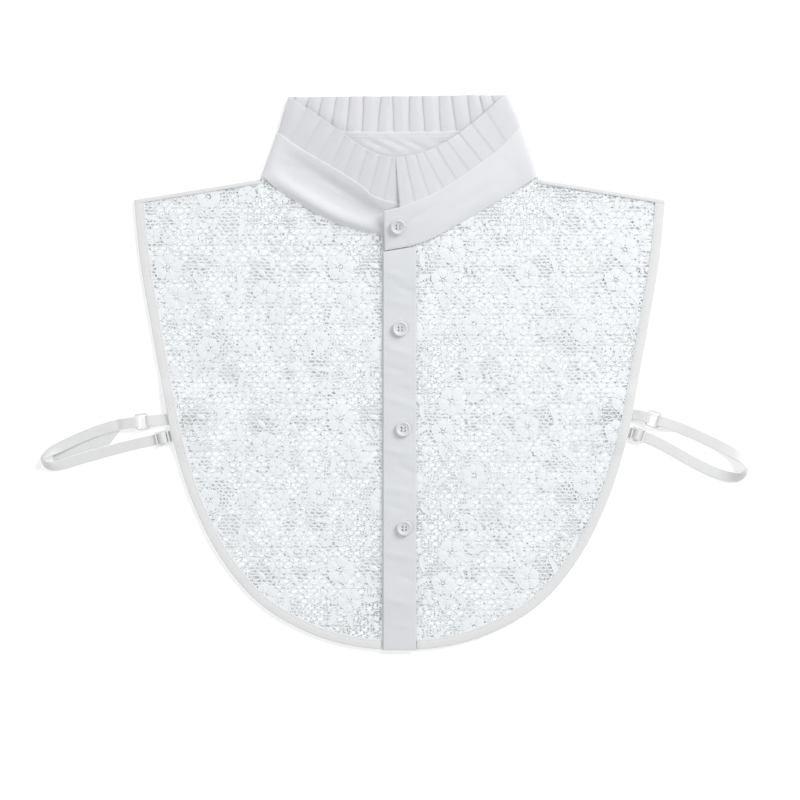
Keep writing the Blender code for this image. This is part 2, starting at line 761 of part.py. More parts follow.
def build_buttons():
    mesh = button_mesh()
    for number, (x, y) in enumerate(BUTTONS, 1):
        if number == 1:
            spot, out = band_spot(x, y)
            base = spot + out * (BAND_CLOTH / 2 + GAP + 0.1)
        else:
            z = front_z(x, y) + CLOTH + GAP + placket_wrinkle(x, y)
            out = np.array([0, 0, 1.0])
            base = np.array([x, y, z + CLOTH / 2 + GAP + 0.25])
        obj = add_object(f"button_{number}", mesh if number == 1 else mesh.copy(), "plastic")
        obj.location = to_metres(base)
        obj.rotation_mode = "QUATERNION"
        obj.rotation_quaternion = Vector((0, 0, 1)).rotation_difference(Vector(out))


def band_spot(x, y):
    """The band's point over this place at its right end, and its outward direction."""
    best = None
    for station in np.linspace(17.5, len(COLLAR) - 1, 60):
        for height in np.linspace(0.2, 0.9, 60):
            point = collar_point(station, height)
            away = math.hypot(point[0] - x, point[1] - y)
            if best is None or away < best[0]:
                best = (away, station, point)
    out = collar_out(best[1])
    return best[2], out if out[2] > 0 else -out


clear_scene()
build_back()
build_front(-1, "left")
build_front(1, "right")
build_placket()
build_band()
build_frill()
build_buttons()
for sign, label in ((-1, "left"), (1, "right")):
    build_tab(sign, label)
    build_ring(label)
    build_strap(sign, label)
build_ply()
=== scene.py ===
# A detachable lace collar laid flat and seen from straight above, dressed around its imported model.
# Settings are in millimetres, x from the garment's centre line, z up from the floor.
# Left and right are the viewer's.

import json
import math
import random

import bmesh
import bpy
import numpy as np
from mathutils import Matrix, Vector
from mathutils.bvhtree import BVHTree

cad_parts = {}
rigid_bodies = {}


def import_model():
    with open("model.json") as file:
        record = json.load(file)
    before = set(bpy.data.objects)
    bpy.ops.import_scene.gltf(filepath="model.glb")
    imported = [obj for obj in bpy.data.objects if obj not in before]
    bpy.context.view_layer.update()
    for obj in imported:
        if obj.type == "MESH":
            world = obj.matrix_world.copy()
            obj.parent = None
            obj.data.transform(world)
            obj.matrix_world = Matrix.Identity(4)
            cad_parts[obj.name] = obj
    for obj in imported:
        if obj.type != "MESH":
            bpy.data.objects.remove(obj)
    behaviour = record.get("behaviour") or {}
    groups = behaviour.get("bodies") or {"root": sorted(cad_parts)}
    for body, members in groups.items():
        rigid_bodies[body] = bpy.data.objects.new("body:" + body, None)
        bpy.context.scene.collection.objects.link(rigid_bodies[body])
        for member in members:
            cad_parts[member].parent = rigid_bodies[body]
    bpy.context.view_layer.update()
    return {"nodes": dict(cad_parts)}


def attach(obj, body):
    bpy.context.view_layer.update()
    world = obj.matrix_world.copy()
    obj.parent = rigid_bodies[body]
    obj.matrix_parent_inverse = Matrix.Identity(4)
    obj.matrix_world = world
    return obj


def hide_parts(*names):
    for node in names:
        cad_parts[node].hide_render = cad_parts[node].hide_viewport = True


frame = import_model()
nodes = frame["nodes"]

mm = 0.001
garment = {
    "centreX": 3.38,  # the centre line in the frame
    "backMid": 0.5,  # the middle of the back cloth above the floor
    "frontMid": 1.8,
    "floorClear": 0.02,
    "shoulderNeck": (97.4, 135.2),
    "shoulderTip": (185.9, 120.8),
    "backShift": 20.0,  # the back's creases are the fronts', moved and lower
    "backShare": 0.35,
}


# Meshes

def linked(name, data):
    made = bpy.data.objects.new(name, data)
    bpy.context.scene.collection.objects.link(made)
    return made


def addMesh(name, points, faces, material, uv=None, smooth=True):
    # points in millimetres from the centre line; faces all have the same number of corners
    points = np.asarray(points, np.float64)
    faces = np.asarray(faces, np.int32)
    world = (points + [garment["centreX"], 0, 0]) * mm
    mesh = bpy.data.meshes.new(name)
    corners = faces.shape[1]
    mesh.vertices.add(len(world))
    mesh.vertices.foreach_set("co", world.astype(np.float32).ravel())
    mesh.loops.add(faces.size)
    mesh.loops.foreach_set("vertex_index", faces.ravel())
    mesh.polygons.add(len(faces))
    mesh.polygons.foreach_set("loop_start", np.arange(0, faces.size, corners, dtype=np.int32))
    if uv is not None:
        layer = mesh.uv_layers.new(name="cloth")
        layer.data.foreach_set("uv", (np.asarray(uv)[faces.ravel()] * mm).astype(np.float32).ravel())
    mesh.update(calc_edges=True)
    mesh.validate()
    if smooth:
        mesh.shade_smooth()
        mesh.set_sharp_from_angle(angle=math.radians(55))
    mesh.materials.append(material)
    return linked(name, mesh)


def facingOut(points, quads):
    # turned round if the closed shape is inside out
    a, b, c, d = (points[quads[:, k]] for k in range(4))
    volume = np.einsum("ij,ij->i", a, np.cross(b, c)).sum() + np.einsum("ij,ij->i", a, np.cross(c, d)).sum()
    return points, quads[:, ::-1] if volume < 0 else quads


def joined(parts):
    points, quads, start = [], [], 0
    for p, q in parts:
        points.append(p)
        quads.append(q + start)
        start += len(p)
    return np.concatenate(points), np.concatenate(quads)


def placed(part, x, y, turn=0.0, size=1.0):
    points, quads = part
    c, s = math.cos(turn), math.sin(turn)
    moved = points.copy()
    moved[:, 0] = (points[:, 0] * c - points[:, 1] * s) * size + x
    moved[:, 1] = (points[:, 0] * s + points[:, 1] * c) * size + y
    return moved, quads


def ringQuads(count, sides, closed):
    # the faces between each ring of points and the next
    i = np.arange(count if closed else count - 1)[:, None]
    k = np.arange(sides)[None]
    here, after, beside = i * sides, (i + 1) % count * sides, (k + 1) % sides
    return np.stack([here + k, after + k, after + beside, here + beside], 2).reshape(-1, 4)


def ridge(path, width, height, base=0.0, closed=False):
    # a raised thread along a flat path
    path = np.asarray(path, float)
    if closed:
        ahead, behind = np.roll(path, -1, 0), np.roll(path, 1, 0)
    else:
        ahead, behind = np.vstack([path[1:], path[-1:]]), np.vstack([path[:1], path[:-1]])
    along = ahead - behind
    along /= np.linalg.norm(along, axis=1)[:, None] + 1e-9
    side = np.stack([-along[:, 1], along[:, 0]], 1) * width / 2
    rings = [
        np.column_stack([path + side * share, np.full(len(path), base + height * level)])
        for share, level in ((-1, 0), (-0.45, 1), (0.45, 1), (1, 0))
    ]
    points = np.stack(rings, 1).reshape(-1, 3)
    quads = ringQuads(len(path), 4, closed)
    if not closed:
        last = (len(path) - 1) * 4
        quads = np.vstack([quads, [[3, 2, 1, 0]], [[last, last + 1, last + 2, last + 3]]])
    return facingOut(points, quads)


def slab(top, bottom):
    # a closed solid between two nets of points of the same size
    rows, columns = top.shape[:2]
    index = np.arange(rows * columns).reshape(rows, columns)
    corners = (index[:-1, :-1], index[1:, :-1], index[1:, 1:], index[:-1, 1:])
    over = np.stack([corner.ravel() for corner in corners], 1)
    under = over[:, ::-1] + rows * columns
    rim = np.concatenate([index[:, 0], index[-1, 1:], index[-2::-1, -1], index[0, -2:0:-1]])
    after = np.roll(rim, -1)
    walls = np.stack([after, rim, rim + rows * columns, after + rows * columns], 1)
    points = np.concatenate([top.reshape(-1, 3), bottom.reshape(-1, 3)])
    return facingOut(points, np.concatenate([over, under, walls]))


# Geometry node trees

def newTree(name, inputs):
    tree = bpy.data.node_groups.new(name, "GeometryNodeTree")
    tree.interface.new_socket("Geometry", in_out="INPUT", socket_type="NodeSocketGeometry")
    for label, kind, value in inputs:
        socket = tree.interface.new_socket(label, in_out="INPUT", socket_type=kind)
        if value is not None:
            socket.default_value = value
    tree.interface.new_socket("Geometry", in_out="OUTPUT", socket_type="NodeSocketGeometry")
    return tree, tree.nodes.new("NodeGroupInput"), tree.nodes.new("NodeGroupOutput")


def afterModifiers(source):
    bpy.context.view_layer.update()
    graph = bpy.context.evaluated_depsgraph_get()
    return bpy.data.meshes.new_from_object(source.evaluated_get(graph), depsgraph=graph)


def runTree(source, tree, values):
    # the tree's result as a plain mesh; the source goes
    modifier = source.modifiers.new(tree.name, "NODES")
    modifier.node_group = tree
    for item in tree.interface.items_tree:
        if item.item_type == "SOCKET" and item.in_out == "INPUT" and item.name in values:
            modifier[item.identifier] = values[item.name]
    mesh = afterModifiers(source)
    source.modifiers.remove(modifier)
    bpy.data.objects.remove(source, do_unlink=True)
    return mesh


def sourceMesh(name, points, edges=(), faces=()):
    mesh = bpy.data.meshes.new(name)
    mesh.from_pydata([tuple(p) for p in points], [tuple(e) for e in edges], [tuple(f) for f in faces])
    return linked(name, mesh)


# Materials

def shaderOf(name):
    made = bpy.data.materials.new(name)
    made.use_nodes = True
    return made, made.node_tree, made.node_tree.nodes["Principled BSDF"]


def joinSockets(tree, pairs):
    for start, end in pairs:
        tree.links.new(start, end)


def softFinish(tree, shader, look, place):
    # a faint change of tone from place to place, and a soft sheen
    cloud, tint = tree.nodes.new("ShaderNodeTexNoise"), tree.nodes.new("ShaderNodeMix")
    cloud.inputs["Scale"].default_value = 1 / (look["cloud"] * mm)
    tint.data_type = "RGBA"
    dark = [v * (1 - look["mottle"]) for v in look["colour"]]
    tint.inputs["A"].default_value = (*dark, 1)
    tint.inputs["B"].default_value = (*look["colour"], 1)
    joinSockets(tree, [
        (place.outputs["Object"], cloud.inputs["Vector"]),
        (cloud.outputs["Fac"], tint.inputs["Factor"]),
        (tint.outputs["Result"], shader.inputs["Base Color"]),
    ])
    shader.inputs["Roughness"].default_value = look["rough"]
    shader.inputs["Sheen Weight"].default_value = look["sheen"]
    shader.inputs["Sheen Roughness"].default_value = 0.5


def clothLook(name, look):
    # woven cloth: threads from the piece's own UV map, uneven ones from its place
    made, tree, shader = shaderOf(name)
    new = tree.nodes.new
    place = new("ShaderNodeTexCoord")
    chart = new("ShaderNodeUVMap")
    chart.uv_map = "cloth"
    warp, weft = new("ShaderNodeTexWave"), new("ShaderNodeTexWave")
    for wave, direction in ((warp, "X"), (weft, "Y")):
        wave.bands_direction = direction
        wave.inputs["Scale"].default_value = math.pi / 10 / (look["thread"] * mm)
        wave.inputs["Distortion"].default_value = 0.4
        wave.inputs["Detail"].default_value = 1.0
        tree.links.new(chart.outputs["UV"], wave.inputs["Vector"])
    weave = new("ShaderNodeMath")
    weave.operation = "MULTIPLY"
    slub, raised = new("ShaderNodeTexNoise"), new("ShaderNodeMath")
    slub.inputs["Scale"].default_value = 1 / (look["slub"] * mm)
    raised.operation = "MULTIPLY_ADD"
    raised.inputs[1].default_value = 0.6
    bump = new("ShaderNodeBump")
    bump.inputs["Strength"].default_value = look["bump"]
    bump.inputs["Distance"].default_value = 0.25 * mm
    joinSockets(tree, [
        (place.outputs["Object"], slub.inputs["Vector"]),
        (warp.outputs["Fac"], weave.inputs[0]),
        (weft.outputs["Fac"], weave.inputs[1]),
        (slub.outputs["Fac"], raised.inputs[0]),
        (weave.outputs[0], raised.inputs[2]),
        (raised.outputs[0], bump.inputs["Height"]),
        (bump.outputs["Normal"], shader.inputs["Normal"]),
    ])
    softFinish(tree, shader, look, place)
    if look.get("alpha", 1) < 1:
        shader.inputs["Alpha"].default_value = look["alpha"]
    return made


def threadLook(name, look):
    # cotton thread with fine fibres across it
    made, tree, shader = shaderOf(name)
    new = tree.nodes.new
    place, fibre, bump = (new(kind) for kind in (
        "ShaderNodeTexCoord", "ShaderNodeTexNoise", "ShaderNodeBump"))
    fibre.inputs["Scale"].default_value = 1 / (look["fibre"] * mm)
    fibre.inputs["Detail"].default_value = 3.0
    bump.inputs["Strength"].default_value = look["bump"]
    bump.inputs["Distance"].default_value = 0.2 * mm
    joinSockets(tree, [
        (place.outputs["Object"], fibre.inputs["Vector"]),
        (fibre.outputs["Fac"], bump.inputs["Height"]),
        (bump.outputs["Normal"], shader.inputs["Normal"]),
    ])
    softFinish(tree, shader, look, place)
    return made


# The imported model's panels: their outlines and seams

def panelOutline(node):
    # the closed outline of a panel's upper face, seen from above
    mesh = nodes[node].data
    spots, edges = {}, {}
    for face in mesh.polygons:
        if face.normal.z < 0.5:
            continue
        ring = []
        for v in face.vertices:
            co = mesh.vertices[v].co
            key = (round(co.x / mm, 2), round(co.y / mm, 2))
            spots[key] = (co.x / mm - garment["centreX"], co.y / mm)
            ring.append(key)
        for a, b in zip(ring, ring[1:] + ring[:1]):
            if a == b:
                continue
            if (b, a) in edges:
                del edges[b, a]
            else:
                edges[a, b] = True
    after = dict(edges.keys())
    start = next(iter(after))
    loop, here = [], start
    while True:
        loop.append(spots[here])
        here = after.pop(here)
        if here == start or here not in after:
            break
    return np.array(loop)


def edgeDistance(places, outline):
    # how far inside the outline each place is, and the nearest point of the outline
    a, b = outline, np.roll(outline, -1, 0)
    best = np.full(len(places), 1e9)
    nearest = np.zeros((len(places), 2))
    inside = np.zeros(len(places), bool)
    for k in range(len(a)):
        step = b[k] - a[k]
        share = np.clip(((places - a[k]) @ step) / (step @ step + 1e-12), 0, 1)
        spot = a[k] + share[:, None] * step
        away = np.hypot(*(places - spot).T)
        closer = away < best
        best[closer], nearest[closer] = away[closer], spot[closer]
        rises = (a[k][1] > places[:, 1]) != (b[k][1] > places[:, 1])
        cross = a[k][0] + (places[:, 1] - a[k][1]) * step[0] / (step[1] if step[1] else 1e-12)
        inside ^= rises & (places[:, 0] < cross)
    return np.where(inside, best, -best), nearest


def shoulderLine(half):
    # the shoulder seam's y at a half width
    (tip, tipY), (neck, neckY) = garment["shoulderTip"], garment["shoulderNeck"]
    return tipY + (neckY - tipY) * (tip - half) / (tip - neck)


# Lace: flower and leaf motifs, packed on a repeat, over a net of threads

lace = {
    "repeat": (121.0, 106.0),
    "seed": 23,
    "tries": 500,  # at finding a free place for a motif
    "clearance": 1.2,  # between motifs
    "cord": 0.8,
    "cordHeight": 0.24,
    "bar": 0.8,
    "barHeight": 0.2,
    "base": -0.2,  # the motifs' underside from the cloth's middle
    "fill": 0.26,
    "netJitter": 0.36,
    "netThread": 0.62,
    "netFlat": 0.2,  # what is left of the threads' height
    "netLow": -0.06,  # the threads' middle from the cloth's
    "underEdge": 2.2,  # how far the lace runs on under tapes and seams
    "tiles": 5,  # repeats to each side of the first
    "reach": 19.0,  # motifs this far outside a panel still touch it
    "wellInside": 4.0,  # motifs this far inside it keep the net away
}
laceColour = {
    "colour": (0.94, 0.97, 0.99), "fibre": 0.18, "cloud": 9.0,
    "bump": 0.18, "mottle": 0.04, "rough": 0.85, "sheen": 0.2,
}


def petalLine(length, half, start=0.0, count=11, fullness=0.8, bend=0.0):
    # one side's half widths along a petal or leaf, from its base to its tip
    u = np.linspace(0, 1, count)
    wide = half * np.sin(math.pi * u ** fullness) ** 0.7
    return start + u * length, wide, bend * np.sin(math.pi * u / 2) ** 2


def outlineCord(length, half, start, fullness, bend, count):
    x, wide, shift = petalLine(length, half, start, count, fullness, bend)
    left = np.column_stack([x, shift + wide])
    right = np.column_stack([x, shift - wide])[-2:0:-1]
    rise = lace["cordHeight"] + lace["fill"] * 0.5
    return ridge(np.vstack([left, right]), lace["cord"], rise, lace["base"], closed=True)


def filledPetal(length, half, start, fullness, bend=0.0, rows=7, columns=5, low=-1.0, high=1.0, dome=0.22):
    x, wide, shift = petalLine(length, half, start, rows, fullness, bend)
    wide = np.maximum(wide, 0.12)
    across = np.linspace(low, high, columns)
    top = np.zeros((rows, columns, 3))
    top[..., 0] = x[:, None]
    top[..., 1] = shift[:, None] + wide[:, None] * across[None]
    lift = np.sin(np.linspace(0, math.pi, rows))[:, None] * (1 - across[None] ** 2)
    top[..., 2] = lace["base"] + lace["fill"] + dome * lift
    bottom = top.copy()
    bottom[..., 2] = lace["base"]
    return slab(top, bottom)


def ladder(length, half, start, fullness, bend, step, low=-1.0, high=1.0):
    # threads across an open petal
    parts = []
    count = max(2, int(length / step))
    for k in range(1, count):
        u = k / count
        wide = half * math.sin(math.pi * u ** fullness) ** 0.7
        shift = bend * math.sin(math.pi * u / 2) ** 2
        x = start + u * length
        lean = 0.35 * step
        first, middle, last = (shift + wide * share for share in (low, (low + high) / 2, high))
        path = [(x - lean, first), (x + lean * 0.3, middle), (x - lean, last)]
        parts.append(ridge(path, lace["bar"], lace["barHeight"], lace["base"] + 0.06))
    return parts


def eye(radius, sides=10):
    turns = np.linspace(0, math.tau, sides, endpoint=False)
    ring = np.column_stack([np.cos(turns), np.sin(turns)]) * radius
    rise = lace["cordHeight"] + lace["fill"] * 0.6
    parts = [ridge(ring, lace["cord"], rise, lace["base"], closed=True)]
    across = [(-radius * 0.5, 0), (0, 0), (radius * 0.5, 0)]
    parts.append(ridge(across, radius * 0.75, rise * 0.8, lace["base"]))
    return parts


def flower(petals, reach, half, eyeRadius, openWork, fine):
    parts = eye(eyeRadius, 12 if fine else 8)
    start = eyeRadius * 0.9
    length = reach - start
    for k in range(petals):
        turn = math.tau * k / petals + 0.2
        # neighbouring petals differ a little, as drawn ones do
        long = length * (1 - 0.05 * (k % 2))
        one = [outlineCord(long, half, start, 1.35, 0.0, 11 if fine else 7)]
        if openWork:
            one += ladder(long, half * 0.95, start, 1.35, 0.0, 2.0 if fine else 4.5)
            one.append(filledPetal(long * 0.55, half * 0.5, start, 0.9, 0.0, 6 if fine else 4, 3))
        else:
            one.append(filledPetal(long, half, start, 1.35, 0.0, 7 if fine else 4, 5 if fine else 3))
            if fine:
                line = np.linspace(start + 0.5, start + long * 0.62, 4)
                vein = np.column_stack([line, line * 0])
                one.append(ridge(vein, lace["bar"], 0.3, lace["base"] + lace["fill"] + 0.05))
        parts += [placed(p, 0, 0, turn) for p in one]
    return joined(parts)


def leaf(length, half, bend, fine):
    # one side of the midrib is filled, the other is open
    rows = 6 if fine else 4
    parts = [
        outlineCord(length, half, 0.0, 0.85, bend, 10 if fine else 6),
        filledPetal(length, half, 0.0, 0.85, bend, rows, 3, -1.0, 0.0, 0.1),
    ]
    parts += ladder(length, half, 0.0, 0.85, bend, 1.9 if fine else 4.5, 0.0, 1.0)
    u = np.linspace(0, 0.96, rows)
    rib = np.column_stack([u * length, bend * np.sin(math.pi * u / 2) ** 2])
    parts.append(ridge(rib, lace["cord"] * 0.8, lace["cordHeight"] + lace["fill"] * 0.6, lace["base"]))
    return joined(parts)


def spray(fine):
    # a curved stem with small leaflets
    u = np.linspace(0, 1, 7 if fine else 4)
    stem = np.column_stack([u * 15.0, 2.6 * np.sin(math.pi * u * 0.8)])
    parts = [ridge(stem, lace["cord"] * 0.8, lace["cordHeight"] + 0.1, lace["base"])]
    for k, share in enumerate((0.18, 0.4, 0.6, 0.8, 1.0)):
        x, y = 15.0 * share, 2.6 * math.sin(math.pi * share * 0.8)
        side = 1 if k % 2 else -1
        turn = side * (0.85 if share < 1 else 0.1)
        bud = filledPetal(5.2, 1.7, 0.0, 0.9, 0.0, 5 if fine else 3, 3, dome=0.3)
        parts.append(placed(bud, x, y, turn))
    return joined(parts)


def pea(fine):
    turns = np.linspace(0, math.tau, 8 if fine else 6, endpoint=False)
    ring = np.column_stack([np.cos(turns), np.sin(turns)]) * 1.35
    rise = lace["cordHeight"] + lace["fill"] * 0.3
    return ridge(ring, lace["cord"] * 1.1, rise, lace["base"], closed=True)


# Each motif: its discs for packing (x, y, radius), how many a repeat, and the sizes they come in.
# The letters keep the order, because instances are picked from the motifs sorted by name.
motifKinds = [
    ("a_bloom", [(0, 0, 14.0)], 2, (0.94, 1.06)),
    ("b_rose", [(0, 0, 9.4)], 3, (0.88, 1.08)),
    ("c_daisy", [(0, 0, 6.0)], 5, (0.85, 1.1)),
    ("d_leaf", [(3.4, 0.4, 2.6), (7.8, 1.3, 3.4), (11.4, 2.1, 2.4)], 15, (0.75, 1.05)),
    ("e_spray", [(3.0, 1.0, 2.6), (7.5, 2.0, 3.9), (12.0, 1.8, 3.6), (16.6, 1.3, 2.2)], 7, (0.75, 0.95)),
    ("f_smallLeaf", [(2.4, 0, 1.9), (5.6, 0, 2.0), (8.0, 0, 1.0)], 16, (0.7, 1.05)),
    ("g_pea", [(0, 0, 1.8)], 10, (0.8, 1.1)),
]


def motifMeshes(fine):
    made = {
        "a_bloom": flower(6, 14.0, 5.6, 2.3, True, fine),
        "b_rose": flower(5, 9.4, 4.1, 2.1, False, fine),
        "c_daisy": flower(5, 6.0, 2.7, 1.3, False, False),
        "d_leaf": leaf(13.2, 3.4, 2.4, fine),
        "e_spray": spray(fine),
        "f_smallLeaf": filledPetal(8.6, 2.0, 0.0, 0.95, 0.0, 6 if fine else 4, 5 if fine else 3, dome=0.3),
        "g_pea": pea(fine),
    }
    return [made[kind] for kind, *_ in motifKinds]


def packMotifs():
    # (kind, x, y, turn, size) for one repeat, none lying on another, wrapped round at its edges
    rng = random.Random(lace["seed"])
    wide, deep = lace["repeat"]
    discs = np.zeros((0, 3))
    chosen, blooms = [], []
    for kind, (_, shape, count, sizes) in enumerate(motifKinds):
        for _ in range(count):
            for attempt in range(lace["tries"]):
                size = rng.uniform(*sizes)
                turn = rng.uniform(0, math.tau)
                x, y = rng.uniform(0, wide), rng.uniform(0, deep)
                if kind in (3, 4) and attempt % 3 and blooms:
                    # most leaves and sprays spring from a flower
                    bx, by, radius = rng.choice(blooms)
                    around = rng.uniform(0, math.tau)
                    x = (bx + (radius + 0.9) * math.cos(around)) % wide
                    y = (by + (radius + 0.9) * math.sin(around)) % deep
                    turn = around + rng.uniform(-0.9, 0.7)
                c, s = math.cos(turn) * size, math.sin(turn) * size
                mine = np.array([(x + a * c - b * s, y + a * s + b * c, r * size) for a, b, r in shape])
                if len(discs):
                    dx = np.abs(mine[:, None, 0] - discs[None, :, 0]) % wide
                    dy = np.abs(mine[:, None, 1] - discs[None, :, 1]) % deep
                    away = np.hypot(np.minimum(dx, wide - dx), np.minimum(dy, deep - dy))
                    if (away < mine[:, None, 2] + discs[None, :, 2] + lace["clearance"]).any():
                        continue
                discs = np.vstack([discs, mine])
                chosen.append((kind, x, y, turn, size))
                if kind < 3:
                    blooms.append((x, y, shape[0][2] * size))
                break
    return chosen


def motifTree():
    tree, given, result = newTree("laceMotifs", [
        ("Motifs", "NodeSocketCollection", None),
        ("Material", "NodeSocketMaterial", None),
    ])
    new = tree.nodes.new
    motifs = new("GeometryNodeCollectionInfo")
    motifs.inputs["Separate Children"].default_value = True
    motifs.inputs["Reset Children"].default_value = True
    spread = new("GeometryNodeInstanceOnPoints")
    spread.inputs["Pick Instance"].default_value = True
    kind, turn, size = (new("GeometryNodeInputNamedAttribute") for _ in range(3))
    for node, name, form in ((kind, "kind", "INT"), (turn, "turn", "FLOAT"), (size, "size", "FLOAT")):
        node.data_type = form
        node.inputs["Name"].default_value = name
    spin, grow = new("ShaderNodeCombineXYZ"), new("ShaderNodeCombineXYZ")
    plain, finish = new("GeometryNodeRealizeInstances"), new("GeometryNodeSetMaterial")
    grow.inputs["Z"].default_value = 1.0
    joinSockets(tree, [
        (given.outputs["Geometry"], spread.inputs["Points"]),
        (given.outputs["Motifs"], motifs.inputs["Collection"]),
        (motifs.outputs["Instances"], spread.inputs["Instance"]),
        (kind.outputs["Attribute"], spread.inputs["Instance Index"]),
        (turn.outputs["Attribute"], spin.inputs["Z"]),
        (spin.outputs["Vector"], spread.inputs["Rotation"]),
        (size.outputs["Attribute"], grow.inputs["X"]),
        (size.outputs["Attribute"], grow.inputs["Y"]),
        (grow.outputs["Vector"], spread.inputs["Scale"]),
        (spread.outputs["Instances"], plain.inputs["Geometry"]),
        (plain.outputs["Geometry"], finish.inputs["Geometry"]),
        (given.outputs["Material"], finish.inputs["Material"]),
        (finish.outputs["Geometry"], result.inputs["Geometry"]),
    ])
    return tree


def netTree():
    # cells of thread: the dual of a net of triangles, each edge a three-sided thread
    tree, given, result = newTree("laceNet", [
        ("Thread Radius", "NodeSocketFloat", 0.3),
        ("Material", "NodeSocketMaterial", None),
    ])
    new = tree.nodes.new
    cells, line = new("GeometryNodeDualMesh"), new("GeometryNodeMeshToCurve")
    ring, turned, thread = (new(kind) for kind in (
        "GeometryNodeCurvePrimitiveCircle", "GeometryNodeTransform", "GeometryNodeCurveToMesh"))
    turned.inputs["Rotation"].default_value = (0, 0, math.radians(-30))
    ring.inputs["Resolution"].default_value = 3
    thread.inputs["Fill Caps"].default_value = True
    up = new("GeometryNodeSetCurveNormal")
    up.mode = "Z_UP"
    plain, finish = new("GeometryNodeRealizeInstances"), new("GeometryNodeSetMaterial")
    joinSockets(tree, [
        (given.outputs["Geometry"], cells.inputs["Mesh"]),
        (cells.outputs["Dual Mesh"], line.inputs["Mesh"]),
        (line.outputs["Curve"], up.inputs["Curve"]),
        (up.outputs["Curve"], thread.inputs["Curve"]),
        (given.outputs["Thread Radius"], ring.inputs["Radius"]),
        (ring.outputs["Curve"], turned.inputs["Geometry"]),
        (turned.outputs["Geometry"], thread.inputs["Profile Curve"]),
        (thread.outputs["Mesh"], plain.inputs["Geometry"]),
        (plain.outputs["Geometry"], finish.inputs["Geometry"]),
        (given.outputs["Material"], finish.inputs["Material"]),
        (finish.outputs["Geometry"], result.inputs["Geometry"]),
    ])
    return tree


# Curves, cloth shells and tubes

def smoothRows(rows, fine):
    # a centripetal curve through the rows, with as many steps between each pair
    rows = np.asarray(rows, float)
    padded = np.vstack([2 * rows[0] - rows[1], rows, 2 * rows[-1] - rows[-2]])
    made = []
    for i in range(len(rows) - 1):
        p0, p1, p2, p3 = padded[i:i + 4]
        steps = [max(np.linalg.norm((b - a)[:3]), 1e-6) ** 0.5 for a, b in ((p0, p1), (p1, p2), (p2, p3))]
        t0, t1, t2, t3 = np.concatenate([[0.0], np.cumsum(steps)])
        t = t1 + (t2 - t1) * np.arange(fine)[:, None] / fine
        a1 = (p0 * (t1 - t) + p1 * (t - t0)) / (t1 - t0)
        a2 = (p1 * (t2 - t) + p2 * (t - t1)) / (t2 - t1)
        a3 = (p2 * (t3 - t) + p3 * (t - t2)) / (t3 - t2)
        b1 = (a1 * (t2 - t) + a2 * (t - t0)) / (t2 - t0)
        b2 = (a2 * (t3 - t) + a3 * (t - t1)) / (t3 - t1)
        made.append((b1 * (t2 - t) + b2 * (t - t1)) / (t2 - t1))
    return np.vstack(made + [rows[-1:]])


class Line:
    # a smooth curve through a table's rows, read by its length over some of the columns

    def __init__(self, rows, columns=(0, 1), fine=24):
        self.table = smoothRows(rows, fine)
        self.stations = np.arange(len(self.table)) / fine
        steps = np.linalg.norm(np.diff(self.table[:, list(columns)], axis=0), axis=1)
        self.lengths = np.concatenate([[0.0], np.cumsum(steps)])
        self.length = self.lengths[-1]

    def at(self, distance):
        distance = np.atleast_1d(distance)
        return np.stack([np.interp(distance, self.lengths, column) for column in self.table.T], 1)

    def heading(self, distance):
        distance = np.atleast_1d(distance)
        a, b = self.at(np.maximum(distance - 0.5, 0)), self.at(np.minimum(distance + 0.5, self.length))
        return np.arctan2(b[:, 1] - a[:, 1], b[:, 0] - a[:, 0])

    def distanceOf(self, station):
        return float(np.interp(station, self.stations, self.lengths))


def spaced(length, step, rim):
    # even places along a length, with close ones for the round edge at both ends
    inner = np.linspace(rim * 1.2, length - rim * 1.2, max(2, int(round(length / step))))
    ends = np.array([0.0, 0.15, 0.5]) * rim
    return np.concatenate([ends, inner, length - ends[::-1]])


def lengthsOver(grid, axis):
    steps = np.linalg.norm(np.diff(grid, axis=axis), axis=2)
    zero = np.zeros_like(np.take(steps, [0], axis=axis))
    return np.concatenate([zero, np.cumsum(steps, axis=axis)], axis=axis)


def clothShell(grid, thickness):
    # a closed skin on both sides of a net of points, rounded off at its edges, with its lengths as a chart
    normal = np.cross(np.gradient(grid, axis=0), np.gradient(grid, axis=1))
    normal /= np.linalg.norm(normal, axis=2)[..., None] + 1e-12
    u, v = lengthsOver(grid, 0), lengthsOver(grid, 1)
    edge = np.minimum(np.minimum(u, u[-1:] - u), np.minimum(v, v[:, -1:] - v))
    half = np.broadcast_to(np.asarray(thickness, float) / 2, u.shape)
    share = np.clip(edge / half, 0, 1)
    half = half * np.maximum(np.sqrt(1 - (1 - share) ** 2), 0.3)
    top, bottom = grid + normal * half[..., None], grid - normal * half[..., None]
    points, quads = slab(top, bottom)
    chart = np.stack([u.ravel(), v.ravel()], 1)
    return points, quads, np.vstack([chart, chart])


def addShell(name, grid, thickness, material):
    points, quads, chart = clothShell(grid, thickness)
    points[:, 2] = np.maximum(points[:, 2], garment["floorClear"])
    return addMesh(name, points, quads, material, chart)


